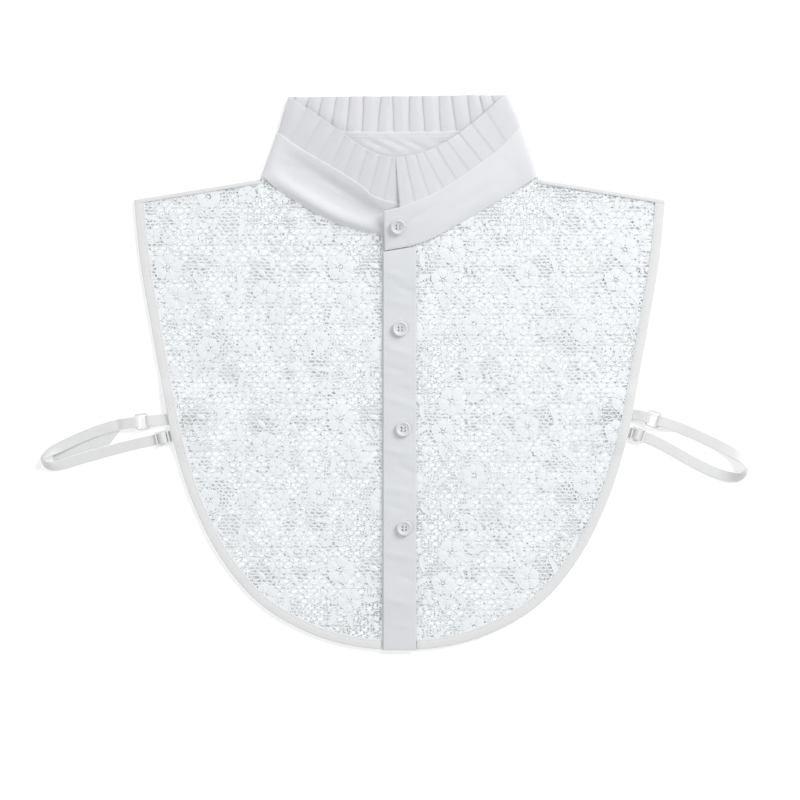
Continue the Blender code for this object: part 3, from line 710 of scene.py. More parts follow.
def tube(path, radius, sides=8, closed=False):
    # a round thread or wire along a path in space
    path = np.asarray(path, float)
    if closed:
        along = np.roll(path, -1, 0) - np.roll(path, 1, 0)
    else:
        along = np.gradient(path, axis=0)
    along /= np.linalg.norm(along, axis=1)[:, None] + 1e-12
    side = np.cross(along, [0, 0, 1.0])
    flat = np.linalg.norm(side, axis=1) < 1e-3
    side[flat] = (1.0, 0, 0)
    side /= np.linalg.norm(side, axis=1)[:, None]
    up = np.cross(side, along)
    turns = np.linspace(0, math.tau, sides, endpoint=False)
    ring = np.cos(turns)[None, :, None] * side[:, None] + np.sin(turns)[None, :, None] * up[:, None]
    points = (path[:, None] + ring * np.reshape(radius, (-1, 1, 1))).reshape(-1, 3)
    quads = ringQuads(len(path), sides, closed)
    if not closed:
        points = np.vstack([points, path[:1], path[-1:]])
        start, end, last = len(points) - 2, len(points) - 1, (len(path) - 1) * sides
        even = np.arange(0, sides, 2)
        odd, following = even + 1, (even + 2) % sides
        first = np.stack([even * 0 + start, even, odd, following], 1)
        final = np.stack([even * 0 + end, last + following, last + odd, last + even], 1)
        quads = np.vstack([quads, first, final])
    return facingOut(points, quads)


# The garment's lines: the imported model's, with a deeper roll and hollow at the left of the band

outlineRows = [
    # half width, y; from the shoulder tip down to the middle of the hem
    (185.9, 120.8), (181.7, 78.8), (174.7, 36.8), (167.0, -5.3), (158.5, -48.0), (145.6, -89.3),
    (124.3, -131.3), (96.5, -163.0), (60.2, -183.6), (30.0, -191.8), (0.0, -194.4),
]
folds = [
    # x1, y1, x2, y2, height, half width: the fronts' long soft folds
    (-150.0, 95.0, -88.0, -40.0, 1.3, 17.0),
    (-70.0, 60.0, -62.0, -95.0, 1.0, 15.0),
    (-118.0, -30.0, -80.0, -140.0, 0.9, 14.0),
    (152.0, 92.0, 96.0, -20.0, 1.2, 17.0),
    (66.0, 72.0, 72.0, -80.0, 1.1, 15.0),
    (112.0, -20.0, 58.0, -150.0, 1.0, 14.0),
]
creases = [
    # x1, y1, x2, y2, height, half width: smaller ridges and troughs between them
    (-172.0, 60.0, -128.0, 32.0, -0.5, 5.0),
    (-160.0, 8.0, -104.0, 22.0, 0.45, 6.0),
    (-128.0, 112.0, -92.0, 70.0, 0.5, 5.5),
    (-60.0, 96.0, -40.0, 34.0, -0.45, 6.0),
    (-48.0, -20.0, -22.0, -66.0, 0.4, 4.5),
    (-96.0, -92.0, -50.0, -120.0, -0.5, 5.0),
    (-70.0, -150.0, -26.0, -138.0, 0.4, 4.5),
    (-134.0, -66.0, -110.0, -112.0, 0.45, 5.0),
    (-30.0, 60.0, -19.0, 10.0, 0.35, 4.0),
    (168.0, 48.0, 120.0, 40.0, 0.45, 5.5),
    (140.0, 108.0, 104.0, 84.0, -0.5, 5.5),
    (96.0, 66.0, 44.0, 38.0, -0.45, 6.0),
    (150.0, -70.0, 112.0, -76.0, 0.5, 5.0),
    (52.0, -10.0, 22.0, -44.0, 0.4, 4.5),
    (104.0, -104.0, 76.0, -128.0, -0.5, 5.5),
    (84.0, -160.0, 30.0, -150.0, 0.45, 5.0),
    (34.0, 76.0, 20.0, 30.0, -0.4, 4.5),
    (128.0, 6.0, 84.0, -52.0, 0.4, 5.5),
]
tabRise = {"x": 149.0, "y": -31.5, "halfX": 22.0, "halfY": 15.0, "soft": 14.0, "height": 1.5}
collarRows = [
    # lower x, y, z, seam x, y, z, free x, y, z, roll, hollow
    (7.3, 93.5, 1.9, 3.1, 117.3, 9.0, 6.0, 150.2, 11.0, 0.0, 0.0),
    (-13.7, 96.3, 1.9, -16.5, 122.4, 9.2, -8.5, 150.6, 10.8, 1.0, -1.0),
    (-43.1, 104.0, 1.9, -29.8, 133.0, 8.6, -23.5, 156.0, 10.0, 2.4, -2.4),
    (-67.6, 116.6, 1.9, -53.6, 147.6, 7.0, -41.7, 168.4, 8.4, 2.5, -2.2),
    (-84.4, 127.2, 2.0, -72.2, 158.6, 5.4, -60.0, 181.2, 6.2, 1.6, -1.0),
    (-94.6, 135.6, 2.9, -83.2, 166.6, 4.3, -75.8, 192.0, 4.7, 0.0, 0.0),
    (-96.7, 136.4, 1.75, -85.3, 167.7, 3.0, -78.1, 192.6, 3.3, 0.0, 0.0),
    (-94.6, 136.4, 0.6, -83.2, 168.2, 1.75, -75.8, 192.8, 1.9, 0.0, 0.0),
    (-60.0, 136.2, 0.6, -55.0, 168.9, 1.75, -50.0, 193.0, 1.9, 0.0, 0.0),
    (0.0, 135.4, 0.6, 0.0, 168.6, 1.75, 0.0, 193.4, 1.9, 0.0, 0.0),
    (60.0, 136.2, 0.6, 55.0, 169.6, 1.75, 50.0, 194.0, 1.9, 0.0, 0.0),
    (94.8, 136.4, 0.6, 83.0, 171.4, 1.75, 73.0, 194.2, 1.9, 0.0, 0.0),
    (96.9, 136.4, 1.75, 85.1, 171.6, 3.0, 75.2, 194.2, 3.3, 0.0, 0.0),
    (94.8, 135.8, 2.9, 83.0, 170.6, 4.3, 73.0, 193.8, 4.7, 0.0, 0.0),
    (83.0, 128.2, 2.0, 70.3, 157.4, 5.4, 54.5, 177.6, 6.2, 0.3, 0.3),
    (64.7, 117.3, 1.9, 52.1, 143.4, 7.0, 36.5, 163.8, 8.4, 0.5, 0.5),
    (43.7, 105.4, 2.0, 31.8, 129.6, 9.0, 18.6, 154.4, 10.0, 0.5, 0.5),
    (24.1, 94.4, 2.9, 15.7, 121.3, 10.4, 7.4, 151.4, 10.8, 0.3, 0.3),
    (8.7, 88.8, 3.5, 3.1, 116.2, 10.9, -1.5, 150.3, 11.0, 0.0, 0.0),
    (-10.6, 85.2, 3.6, -11.3, 112.4, 11.2, -5.0, 150.0, 11.0, 0.0, 0.0),
]


def raisedBy(x, y, rows):
    total = np.zeros(np.shape(x))
    for x1, y1, x2, y2, height, half in rows:
        dx, dy = x2 - x1, y2 - y1
        share = np.clip(((x - x1) * dx + (y - y1) * dy) / (dx * dx + dy * dy), 0, 1)
        away = np.hypot(x - x1 - share * dx, y - y1 - share * dy)
        total = total + height * np.exp(-((away / half) ** 2)) * (1 - 0.5 * np.abs(2 * share - 1))
    return total


def softStep(value):
    value = np.clip(value, 0, 1)
    return value * value * (3 - 2 * value)


def frontHeight(x, y):
    # the middle of the front cloth
    beyond = np.hypot(
        np.maximum(np.abs(np.abs(x) - tabRise["x"]) - tabRise["halfX"], 0),
        np.maximum(np.abs(y - tabRise["y"]) - tabRise["halfY"], 0),
    )
    z = garment["frontMid"] + raisedBy(x, y, folds)
    return z + tabRise["height"] * (1 - softStep(beyond / tabRise["soft"]))


def laceFrontHeight(x, y):
    return frontHeight(x, y) + raisedBy(x, y, creases)


def laceBackHeight(x, y):
    # it lies on the floor; its own creases are low ridges
    ridges = np.abs(raisedBy(x, -y - garment["backShift"], creases))
    return garment["backMid"] + ridges * garment["backShare"]


# Lace panels

lacePanels = {
    # the repeat's shift, mirrored or not, fine or plain motifs, the net's seed and its cells
    "laceBack": {
        "node": "back_panel", "shift": (37.0, 61.0), "mirror": 1,
        "fine": False, "net": 31, "cell": (6.8, 3.7),
    },
    "laceFrontLeft": {
        "node": "front_panel_left", "shift": (0.0, 8.0), "mirror": 1,
        "fine": True, "net": 32, "cell": (4.6, 2.4),
    },
    "laceFrontRight": {
        "node": "front_panel_right", "shift": (5.0, 20.0), "mirror": -1,
        "fine": True, "net": 33, "cell": (4.6, 2.4),
    },
}


def scatterMotifs(places, meshes, tree, material):
    # every motif at its places, as one plain mesh in millimetres
    collection = bpy.data.collections.new("laceMotifs")
    for (kind, *_), (points, quads) in zip(motifKinds, meshes):
        mesh = bpy.data.meshes.new(kind)
        mesh.from_pydata(points.tolist(), [], quads.tolist())
        collection.objects.link(bpy.data.objects.new(kind, mesh))
    source = sourceMesh("laceSpots", [(x, y, 0) for _, x, y, _, _ in places])
    for name, form, column in (("kind", "INT", 0), ("turn", "FLOAT", 3), ("size", "FLOAT", 4)):
        layer = source.data.attributes.new(name, form, "POINT")
        layer.data.foreach_set("value", [place[column] for place in places])
    made = runTree(source, tree, {"Motifs": collection, "Material": material})
    for helper in list(collection.objects):
        bpy.data.objects.remove(helper, do_unlink=True)
    bpy.data.collections.remove(collection)
    return trianglesOf(made)


def trianglesOf(mesh):
    mesh.calc_loop_triangles()
    points = np.empty(len(mesh.vertices) * 3)
    mesh.vertices.foreach_get("co", points)
    faces = np.empty(len(mesh.loop_triangles) * 3, np.int32)
    mesh.loop_triangles.foreach_get("vertices", faces)
    bpy.data.meshes.remove(mesh)
    return points.reshape(-1, 3), faces.reshape(-1, 3)


def bodiesOf(count, faces):
    # each point's body: the lowest point that it is joined to
    label = np.arange(count)
    while True:
        lowest = label[faces].min(axis=1)
        before = label.copy()
        for corner in range(3):
            np.minimum.at(label, faces[:, corner], lowest)
        label = label[label]
        if (label == before).all():
            return label


def trimmed(points, faces, outline, margin):
    # bodies past the edge go, and those that cross it end on it
    inside, nearest = edgeDistance(points[:, :2], outline)
    label = bodiesOf(len(points), faces)
    deepest = np.full(len(points), -1e9)
    np.maximum.at(deepest, label, inside)
    kept = deepest[label] > -margin * 0.5
    beyond = kept & (inside < -margin)
    away = points[beyond, :2] - nearest[beyond]
    points[beyond, :2] = nearest[beyond] + away / np.linalg.norm(away, axis=1)[:, None] * margin
    return keptOnly(points, faces, kept)


def endedAtShoulder(points):
    # what runs on past either shoulder seam is folded back onto it
    neck, tip = garment["shoulderNeck"][0], garment["shoulderTip"][0]
    half = np.abs(points[:, 0])
    seam = shoulderLine(np.clip(half, neck, tip)) - 0.3
    points[:, 1] = np.where(half > neck, np.minimum(points[:, 1], seam), points[:, 1])
    return points


def keptOnly(points, faces, kept):
    number = np.cumsum(kept) - 1
    return points[kept], number[faces[kept[faces].all(axis=1)]]


def netPoints(outline, mask, seed, cell, tree, material):
    # threads in loose cells wherever no motif lies
    rng = np.random.default_rng(seed)
    across, deep = cell
    reach = lace["underEdge"] + across * 1.2
    low, high = outline.min(0) - reach, outline.max(0) + reach
    columns, rows = int((high[0] - low[0]) / across) + 2, int((high[1] - low[1]) / deep) + 2
    i, j = np.meshgrid(np.arange(columns), np.arange(rows), indexing="ij")
    x = low[0] + (i + 0.5 * (j % 2)) * across + rng.uniform(-1, 1, i.shape) * across * lace["netJitter"]
    y = low[1] + j * deep + rng.uniform(-1, 1, i.shape) * deep * lace["netJitter"]
    spots = np.stack([x.ravel(), y.ravel()], 1)
    edge, _ = edgeDistance(spots, outline)
    points, faces = mask
    covered = BVHTree.FromPolygons(points.tolist(), faces.tolist())
    bare = np.array([
        e > -reach and covered.ray_cast(Vector((p[0], p[1], 9.0)), Vector((0, 0, -1)))[0] is None
        for p, e in zip(spots.tolist(), edge.tolist())
    ])
    at = np.arange(columns * rows).reshape(columns, rows)
    even, odd = np.arange(0, rows - 1, 2), np.arange(1, rows - 1, 2)
    cells = []
    for span, shift in ((even, 0), (odd, 1)):
        a, b = at[:-1, span], at[1:, span]
        c, d = at[:-1, span + 1], at[1:, span + 1]
        if shift:
            cells += [np.stack([a, b, d], -1), np.stack([a, d, c], -1)]
        else:
            cells += [np.stack([a, b, c], -1), np.stack([b, d, c], -1)]
    cells = np.concatenate([c.reshape(-1, 3) for c in cells])
    within = (edge[cells] > -reach).all(axis=1) & bare[cells].any(axis=1)
    flat = np.column_stack([spots, spots[:, 0] * 0])
    source = sourceMesh("netCells", flat.tolist(), (), cells[within].tolist())
    made = runTree(source, tree, {"Thread Radius": lace["netThread"], "Material": material})
    return trimmed(*trianglesOf(made), outline, lace["underEdge"])


def shadeOver(points, height):
    moved = points.copy()
    moved[:, 2] += height(points[:, 0], points[:, 1])
    return moved


def buildLace():
    look = threadLook("laceThread", laceColour)
    scatter, net = motifTree(), netTree()
    repeat = packMotifs()
    wide, deep = lace["repeat"]
    masks = motifMasks()
    made = {}
    for name, panel in lacePanels.items():
        outline = panelOutline(panel["node"])
        low, high = outline.min(0) - lace["reach"], outline.max(0) + lace["reach"]
        places = []
        tiles = range(-lace["tiles"], lace["tiles"] + 1)
        for kind, x, y, turn, size in repeat:
            for column in tiles:
                for row in tiles:
                    px = panel["mirror"] * (x + panel["shift"][0] + column * wide)
                    py = y + panel["shift"][1] + row * deep
                    if low[0] < px < high[0] and low[1] < py < high[1]:
                        aim = turn if panel["mirror"] > 0 else math.pi - turn
                        places.append((kind, px, py, aim, size))
        edge, _ = edgeDistance(np.array([p[1:3] for p in places]), outline)
        near = edge > -lace["reach"]
        places = [p for p, kept in zip(places, near) if kept]
        motifs = scatterMotifs(places, motifMeshes(panel["fine"]), scatter, look)
        motifs = trimmed(*motifs, outline, lace["underEdge"])
        covering = [p for p, e in zip(places, edge[near]) if e > lace["wellInside"]]
        mask = scatterMotifs(covering, masks, scatter, look)
        threads = netPoints(outline, mask, panel["net"], panel["cell"], net, look)
        threads[0][:, 2] = threads[0][:, 2] * lace["netFlat"] + lace["netLow"]
        points = np.vstack([motifs[0], threads[0]])
        faces = np.vstack([motifs[1], threads[1] + len(motifs[0])])
        height = laceBackHeight if name == "laceBack" else laceFrontHeight
        made[name] = addMesh(name, shadeOver(endedAtShoulder(points), height), faces, look)
        print(name, len(motifs[1]), "faces of motifs and", len(threads[1]), "of net")
        panel["outline"] = outline
    return made


def motifMasks():
    # what each motif covers, for the net to stop at
    def petals(count, reach, half, fullness):
        shape = filledPetal(reach, half, 0.0, fullness, 0.0, 6, 3)
        return joined([placed(shape, 0, 0, math.tau * k / count + 0.2) for k in range(count)])

    made = {
        "a_bloom": petals(6, 4.0, 2.0, 1.3),
        "b_rose": petals(5, 8.9, 4.6, 1.3),
        "c_daisy": petals(5, 5.6, 2.7, 1.3),
        "d_leaf": filledPetal(12.9, 3.2, 0.0, 0.85, 2.4, 6, 3),
        "e_spray": filledPetal(17.0, 3.2, 0.0, 0.8, 1.6, 6, 3),
        "f_smallLeaf": filledPetal(8.2, 1.8, 0.0, 0.95, 0.0, 5, 3),
        "g_pea": filledPetal(2.4, 1.2, -1.2, 1.0, 0.0, 4, 3),
    }
    return [made[kind] for kind, *_ in motifKinds]


laceMade = buildLace()


# Bindings

binding = {
    "width": 7.0,
    "thick": 0.95,
    "step": 2.1,
    "pucker": 0.11,
    "puckerPitch": 3.3,
    "groove": 0.16,
    "stitchIn": 1.35,  # from the tape's inner edge
    "stopLeft": 12.8,
    "stopRight": 11.8,
    "slanted": 6.0,  # how far down its end follows the shoulder seam
    "backRise": 0.06,
}
bindingColour = {
    "colour": (0.88, 0.885, 0.89), "thread": 0.3, "slub": 1.1, "cloud": 14.0,
    "bump": 0.3, "mottle": 0.05, "rough": 0.62, "sheen": 0.25,
}
outlineHalf = Line(outlineRows)


def tapeRows(side, stop, across):
    # places on one side from the shoulder down, a row for each step and a column for each place across
    distances = np.arange(0, outlineHalf.length + binding["step"], binding["step"])
    rows = outlineHalf.at(distances)
    turn = outlineHalf.heading(distances)
    half = rows[:, :1] + across[None] * np.sin(turn)[:, None]
    y = rows[:, 1:2] - across[None] * np.cos(turn)[:, None]
    y = y + (shoulderLine(half) - y) * np.maximum(0, 1 - distances / binding["slanted"])[:, None]
    kept = half[:, 0] > stop + binding["step"] * 0.6
    half, y = half[kept], y[kept]
    last = half[-1:] * 0 + stop
    lastY = y[-1:] + (y[-1:] - y[-2:-1]) * 0.5
    return side * np.vstack([half, last]), np.vstack([y, lastY])


def bindingGrid(x, y, across, middle):
    along = np.arange(len(x))[:, None] * binding["step"]
    width = binding["width"]
    inward = across[None] / width
    crown = 0.16 * np.sin(math.pi * inward)
    stitched = np.exp(-(((width - across[None] - binding["stitchIn"]) / 0.55) ** 2))
    wave = np.sin(math.tau * along / binding["puckerPitch"] + 1.7 * np.sin(along / 23.0))
    z = middle(x, y) + crown - binding["groove"] * stitched + binding["pucker"] * wave * inward ** 1.5
    return np.stack([x, y, z], 2)


def backTape(x, y):
    return garment["backMid"] + binding["backRise"] + 0 * x


def buildBindings(look):
    width = binding["width"]
    across = spaced(width, 0.8, 0.5)
    leftX, leftY = tapeRows(-1, 0.0, across)
    rightX, rightY = tapeRows(1, 0.0, across)
    x, y = np.vstack([leftX, rightX[-2::-1]]), np.vstack([leftY, rightY[-2::-1]])
    back = addShell("bindingBack", bindingGrid(x, y, across, backTape), binding["thick"], look)
    made = {"bindingBack": ("back_binding", back)}
    for side, label, stop in ((-1, "Left", binding["stopLeft"]), (1, "Right", binding["stopRight"])):
        x, y = tapeRows(side, stop, across)
        grid = bindingGrid(x, y, across, frontHeight)
        name = "bindingFront" + label
        made[name] = ("front_binding_" + label.lower(), addShell(name, grid, binding["thick"], look))
        seam = tapeRows(side, stop + 0.5, np.array([width - binding["stitchIn"]]))
        x, y = seam[0][:, 0], seam[1][:, 0]
        stitchLines["binding"].append(np.stack([x, y, frontHeight(x, y) + binding["thick"] / 2 + 0.02], 1))
    print("bindings", len(made))
    return made


# Shoulder seams: a narrow tape folded over both layers

shoulder = {"deep": 2.8, "thick": 0.4, "step": 2.2, "low": 0.24, "rise": 0.62, "inset": 1.2, "ruffle": 0.06}


def buildShoulders(look):
    (tip, tipY), (neck, neckY) = garment["shoulderTip"], garment["shoulderNeck"]
    count = int((tip - neck) / shoulder["step"])
    share = np.linspace(0.0, 1.0, count)[:, None]
    x = tip - shoulder["inset"] + (neck + shoulder["inset"] - tip + shoulder["inset"]) * share
    seam = shoulderLine(x)
    turn = math.atan2(neckY - tipY, tip - neck)
    # across: from its upper edge, over the fold, to its lower edge
    arc = np.linspace(math.pi / 2, -math.pi / 2, 7)
    upper, lower = np.linspace(shoulder["deep"], 0.5, 4), np.linspace(0.5, shoulder["deep"], 4)
    back = np.concatenate([upper, 0.3 - 0.3 * np.cos(arc), lower])
    level = np.concatenate([np.ones(4), np.sin(arc), -np.ones(4)])
    made = {}
    for side, label in ((-1, "Left"), (1, "Right")):
        top = laceFrontHeight(side * x, seam - 2.0) + shoulder["rise"]
        middle, half = (top + shoulder["low"]) / 2, (top - shoulder["low"]) / 2
        wave = shoulder["ruffle"] * np.sin(x * 1.9) * (level > 0)[None] * back[None] / shoulder["deep"]
        down = back[None] + 0.15
        across, y = side * (x - down * math.sin(turn)), seam - down * math.cos(turn)
        place = np.stack([across, y, middle + half * level[None] + wave], 2)
        made["shoulder" + label] = addShell("shoulder" + label, place, shoulder["thick"], look)
        path = place[:, 1] + [0, 0, shoulder["thick"] / 2 + 0.02]
        stitchLines["binding"].append(path)
    print("shoulder tapes", len(made))
    return made


# Placket

placket = {
    "half": 11.5,
    "underLeft": -12.5,
    "underRight": 6.2,
    "hem": -194.2,
    "topLeft": 84.35,
    "topRight": 88.15,
    "thick": 0.9,
    "edgeStitch": 2.3,
    "wrinkle": 0.4,
    "crossWrinkle": 1.7,
    "groove": 0.1,
    "lift": 1.3,  # its middle above the front's
    "button": 30.5,  # a button's place, and the way to the next
    "buttonStep": 70.0,
    "underTop": (95.4, 92.9),
    "flatTop": (23.0, 280.5),
    "flatUnder": (18.7, 288.5),
}
placketWrinkles = [
    # x1, y1, x2, y2, height, half width
    (-9.0, 70.0, 3.0, 66.0, 0.3, 2.1),
    (-2.0, 60.0, 10.0, 56.0, -0.3, 2.3),
    (-10.0, 50.0, 9.0, 47.5, 0.28, 2.6),
    (-8.0, 17.0, 7.0, 12.5, 0.3, 2.2),
    (-10.0, 4.0, 2.0, 1.0, -0.28, 2.4),
    (0.0, -7.0, 10.0, -9.0, 0.26, 2.0),
    (-9.0, -18.0, 8.0, -22.5, 0.3, 2.5),
    (-9.5, -54.0, 6.0, -57.0, 0.28, 2.3),
    (0.0, -66.0, 10.0, -70.5, -0.3, 2.4),
    (-10.0, -81.0, 8.0, -84.0, 0.3, 2.6),
    (-9.0, -93.0, 4.0, -96.0, -0.22, 2.0),
    (-10.0, -126.0, 7.0, -129.5, 0.3, 2.5),
    (0.0, -143.0, 10.0, -145.0, -0.26, 2.4),
    (-9.5, -158.0, 6.0, -162.0, 0.28, 2.6),
    (-6.0, -176.0, 9.0, -178.0, 0.22, 2.3),
]
wovenColour = {
    "colour": (0.81, 0.83, 0.86), "thread": 0.32, "slub": 1.3, "cloud": 22.0,
    "bump": 0.35, "mottle": 0.04, "rough": 0.66, "sheen": 0.3,
}


def placketHeight(x, y):
    # the middle of the upper strip: over the front, with its soft cross wrinkles
    away = np.abs(np.sin((y - placket["button"]) * math.pi / placket["buttonStep"]))
    swell = placket["wrinkle"] * (1 + np.sin(y / 9.5 + 0.03 * x)) * away
    grooves = np.exp(-(((placket["half"] - np.abs(x) - placket["edgeStitch"]) / 0.6) ** 2))
    crossed = placket["crossWrinkle"] * raisedBy(x, y, placketWrinkles)
    return frontHeight(x, y) + placket["lift"] + swell + crossed - placket["groove"] * grooves


def stripGrid(left, right, topLeft, topRight, bottom, height):
    across = spaced(right - left, 0.85, 0.45) / (right - left)
    down = spaced(topLeft - bottom, 1.5, 0.45) / (topLeft - bottom)
    x = left + (right - left) * across[None] + 0 * down[:, None]
    top = topLeft + (topRight - topLeft) * across[None]
    y = top + (bottom - top) * down[:, None]
    return np.stack([x, y, height(x, y)], 2)


def buildPlacket(look):
    half, hem = placket["half"], placket["hem"]
    under = stripGrid(placket["underLeft"], placket["underRight"], *placket["underTop"], hem, frontHeight)
    over = stripGrid(-half, half, placket["topLeft"], placket["topRight"], hem, placketHeight)
    for side in (-1, 1):
        x = side * (half - placket["edgeStitch"])
        y = np.arange(placket["topLeft"] - 1.0, hem + 1.5, -2.0)
        z = placketHeight(x + 0 * y, y) + placket["thick"] / 2 + 0.03
        stitchLines["placket"].append(np.stack([x + 0 * y, y, z], 1))
    x = np.arange(-half + 3.0, half - 2.9, 2.0)
    z = placketHeight(x, hem + 3.0 + 0 * x) + placket["thick"] / 2 + 0.03
    stitchLines["placket"].append(np.stack([x, hem + 3.0 + 0 * x, z], 1))
    print("placket")
    return {
        "placketUnder": ("placket_under", addShell("placketUnder", under, placket["thick"], look)),
        "placketTop": ("placket_top", addShell("placketTop", over, placket["thick"], look)),
    }


# Band

band = {
    "thick": 1.1,
    "tall": 31.0,
    "flatTall": 31.5,
    "rollAt": 0.17,
    "rollWidth": 0.14,
    "hollowAt": 0.5,
    "hollowWidth": 0.28,
    "step": 1.7,
    "rows": 26,
    "fineStep": 0.35,
    "sideFolds": (4.85, 7.15, 10.85, 13.15),  # stations with fine steps between them
    "edgeStitch": 2.0,
    "stitched": ((0.3, 4.8), (7.3, 10.7), (13.2, 18.9)),  # from and to station
}
bandCreases = [
    # from and to station, x1, y1, x2, y2, height, half width
    (0, 5, -78.0, 152.0, -12.0, 109.0, -0.9, 3.6),
    (0, 5, -70.0, 134.5, -22.0, 107.0, 0.55, 3.4),
    (0, 5, -58.0, 132.0, -30.0, 118.5, 0.35, 2.2),
    (0, 5, -24.0, 119.0, -10.0, 111.0, -0.35, 1.9),
    (0, 5, -82.0, 146.0, -66.0, 141.0, -0.35, 2.4),
    (7, 11, -24.0, 163.0, -6.0, 155.0, -0.75, 1.8),
    (7, 11, -12.0, 164.0, 8.0, 155.5, -0.7, 1.6),
    (7, 11, 2.0, 163.5, 18.0, 156.0, -0.6, 1.7),
    (7, 11, 22.0, 162.0, 40.0, 157.5, -0.45, 1.9),
    (7, 11, -46.0, 160.5, -30.0, 158.0, -0.45, 2.0),
    (14, 19, 3.0, 103.5, 26.0, 117.0, -0.5, 2.3),
    (14, 19, 6.0, 108.0, 20.0, 121.0, 0.3, 2.2),
    (14, 19, 34.0, 113.0, 66.0, 131.0, -0.35, 3.0),
    (14, 19, 52.0, 118.5, 80.0, 139.0, 0.35, 3.2),
    (14, 19, -6.0, 98.0, 4.0, 92.0, -0.3, 2.0),
    (14, 19, 70.0, 146.0, 84.0, 157.0, -0.35, 2.6),
]
# the placket's woven cotton painted lighter on the band: painted light, not a different cloth
bandPaintedLightColour = dict(wovenColour, colour=(0.86, 0.875, 0.9))
collar = Line(collarRows, (3, 4, 5))


def collarOut(distance):
    # the collar's outward direction
    ahead = collar.at(np.minimum(distance + 0.6, collar.length))
    behind = collar.at(np.maximum(distance - 0.6, 0))
    rows = collar.at(distance)
    out = -np.cross(ahead[:, 3:6] - behind[:, 3:6], rows[:, 3:6] - rows[:, 0:3])
    return out / np.linalg.norm(out, axis=1)[:, None]


def bandGrid(distance, shares):
    rows, out = collar.at(distance), collarOut(distance)
    share = shares[None]
    rolled = np.exp(-(((share - band["rollAt"]) / band["rollWidth"]) ** 2)) * np.minimum(1, share / 0.1)
    hollowed = np.exp(-(((share - band["hollowAt"]) / band["hollowWidth"]) ** 2))
    grid = rows[:, None, 0:3] + (rows[:, 3:6] - rows[:, 0:3])[:, None] * share[..., None]
    station = np.interp(distance, collar.lengths, collar.stations)
    lift = rows[:, 9:10] * rolled + rows[:, 10:11] * hollowed
    for first, last, x1, y1, x2, y2, height, half in bandCreases:
        here = (station > first) & (station < last)
        upward = np.where(out[:, 2] > 0, 1.0, -1.0)
        ends = np.clip(np.minimum(share, 1 - share) / 0.1, 0, 1)
        crease = raisedBy(grid[..., 0], grid[..., 1], [(x1, y1, x2, y2, height, half)])
        lift = lift + crease * ends * (here * upward)[:, None]
    grid = grid + out[:, None] * lift[..., None]
    grid[..., 2] = np.maximum(grid[..., 2], band["thick"] / 2 + 0.02)
    return grid


def collarDistances(step, fine):
    # even steps, closer round the two side folds
    a, b, c, d = (collar.distanceOf(s) for s in band["sideFolds"])
    runs = ((0, a, step), (a, b, fine), (b, c, step), (c, d, fine), (d, collar.length, step))
    parts = [np.linspace(s, e, max(2, int(round((e - s) / t))), endpoint=False) for s, e, t in runs]
    rim = np.array([0.1, 0.35])
    inner = np.concatenate(parts)[1:]
    return np.concatenate([[0.0], rim, inner, collar.length - rim[::-1], [collar.length]])


def buildBand(look):
    distance = collarDistances(band["step"], band["fineStep"])
    tall, edge = band["tall"], band["edgeStitch"] / band["tall"]
    shares = spaced(tall, tall / band["rows"], 0.55) / tall
    piece = addShell("collarBand", bandGrid(distance, shares), band["thick"], look)
    for share in (edge, 1 - edge, 1 - 1.9 * edge):
        for first, last in band["stitched"]:
            run = np.arange(collar.distanceOf(first), collar.distanceOf(last), 2.0)
            upward = np.where(collarOut(run)[:, 2:] > 0, 1.0, -1.0)
            over = collarOut(run) * upward * (band["thick"] / 2 + 0.03)
            stitchLines["placket"].append(bandGrid(run, np.array([share]))[:, 0] + over)
    print("band")
    return {"collarBand": ("collar_band", piece)}


# Frill: knife pleats, each folded back under itself

frill = {
    "pleats": 34,
    "turns": (6.0, 12.0),  # the stations of the side folds
    "centre": -1.0,
    "rootStep": -0.3,
    "frontDepth": 0.38,  # the front pleats are pressed flatter than the back ones
    "cloth": 0.2,
    "hem": 0.42,
    "hemDeep": 1.6,
    "rootDepth": 0.48,
    "freeDepth": 0.66,
    "uneven": (0.72, 1.2),  # from pleat to pleat
    "sway": 1.4,
    "still": (3.6, 7.0),  # flat round the side folds, and how far it takes to full pleats
    "low": 0.25,
    "rows": 15,
    "points": 26,  # along each pleat
}
pleatSection = [
    # share of the pitch, height: over the top, back beneath and on again
    (0.0, -0.16), (0.3, 0.2), (0.62, 0.62), (0.88, 0.92), (0.985, 0.84), (0.93, 0.5),
    (0.72, 0.16), (0.5, -0.22), (0.4, -0.56), (0.48, -0.86), (0.72, -0.72), (1.0, -0.16),
]
frillColour = {
    "colour": (0.92, 0.925, 0.955), "thread": 0.26, "slub": 0.9, "cloud": 16.0,
    "bump": 0.25, "mottle": 0.04, "rough": 0.55, "sheen": 0.35, "alpha": 0.76,
}


def seamCrossing(x, first, last):
    # how far along the seam it passes x between two stations; x falls along both fronts
    here = (collar.stations >= first) & (collar.stations <= last)
    return float(np.interp(-x, -collar.table[here, 3], collar.lengths[here]))


def pleatPlaces():
    # distances along the seam before and after folding, and each place's height in its pleat
    start = seamCrossing(frill["centre"], 0, 4)
    end = seamCrossing(frill["centre"] + 0.8, 15, 19)
    pitch = (end - start) / frill["pleats"]
    section = smoothRows(pleatSection, 12)[:-1]
    moves = np.linalg.norm(np.diff(section * [pitch, 1.2], axis=0), axis=1)
    steps = np.concatenate([[0], np.cumsum(moves)])
    even = np.linspace(0, steps[-1], frill["points"], endpoint=False)
    share, height = (np.interp(even, steps, column) for column in section.T)
    number = np.arange(frill["pleats"])[:, None]
    plain = (number + np.linspace(0, 1, frill["points"], endpoint=False)[None]).ravel() * pitch + start
    pleated = (number + share[None]).ravel() * pitch + start
    return plain, pleated, np.broadcast_to(height, (frill["pleats"], frill["points"])).ravel()


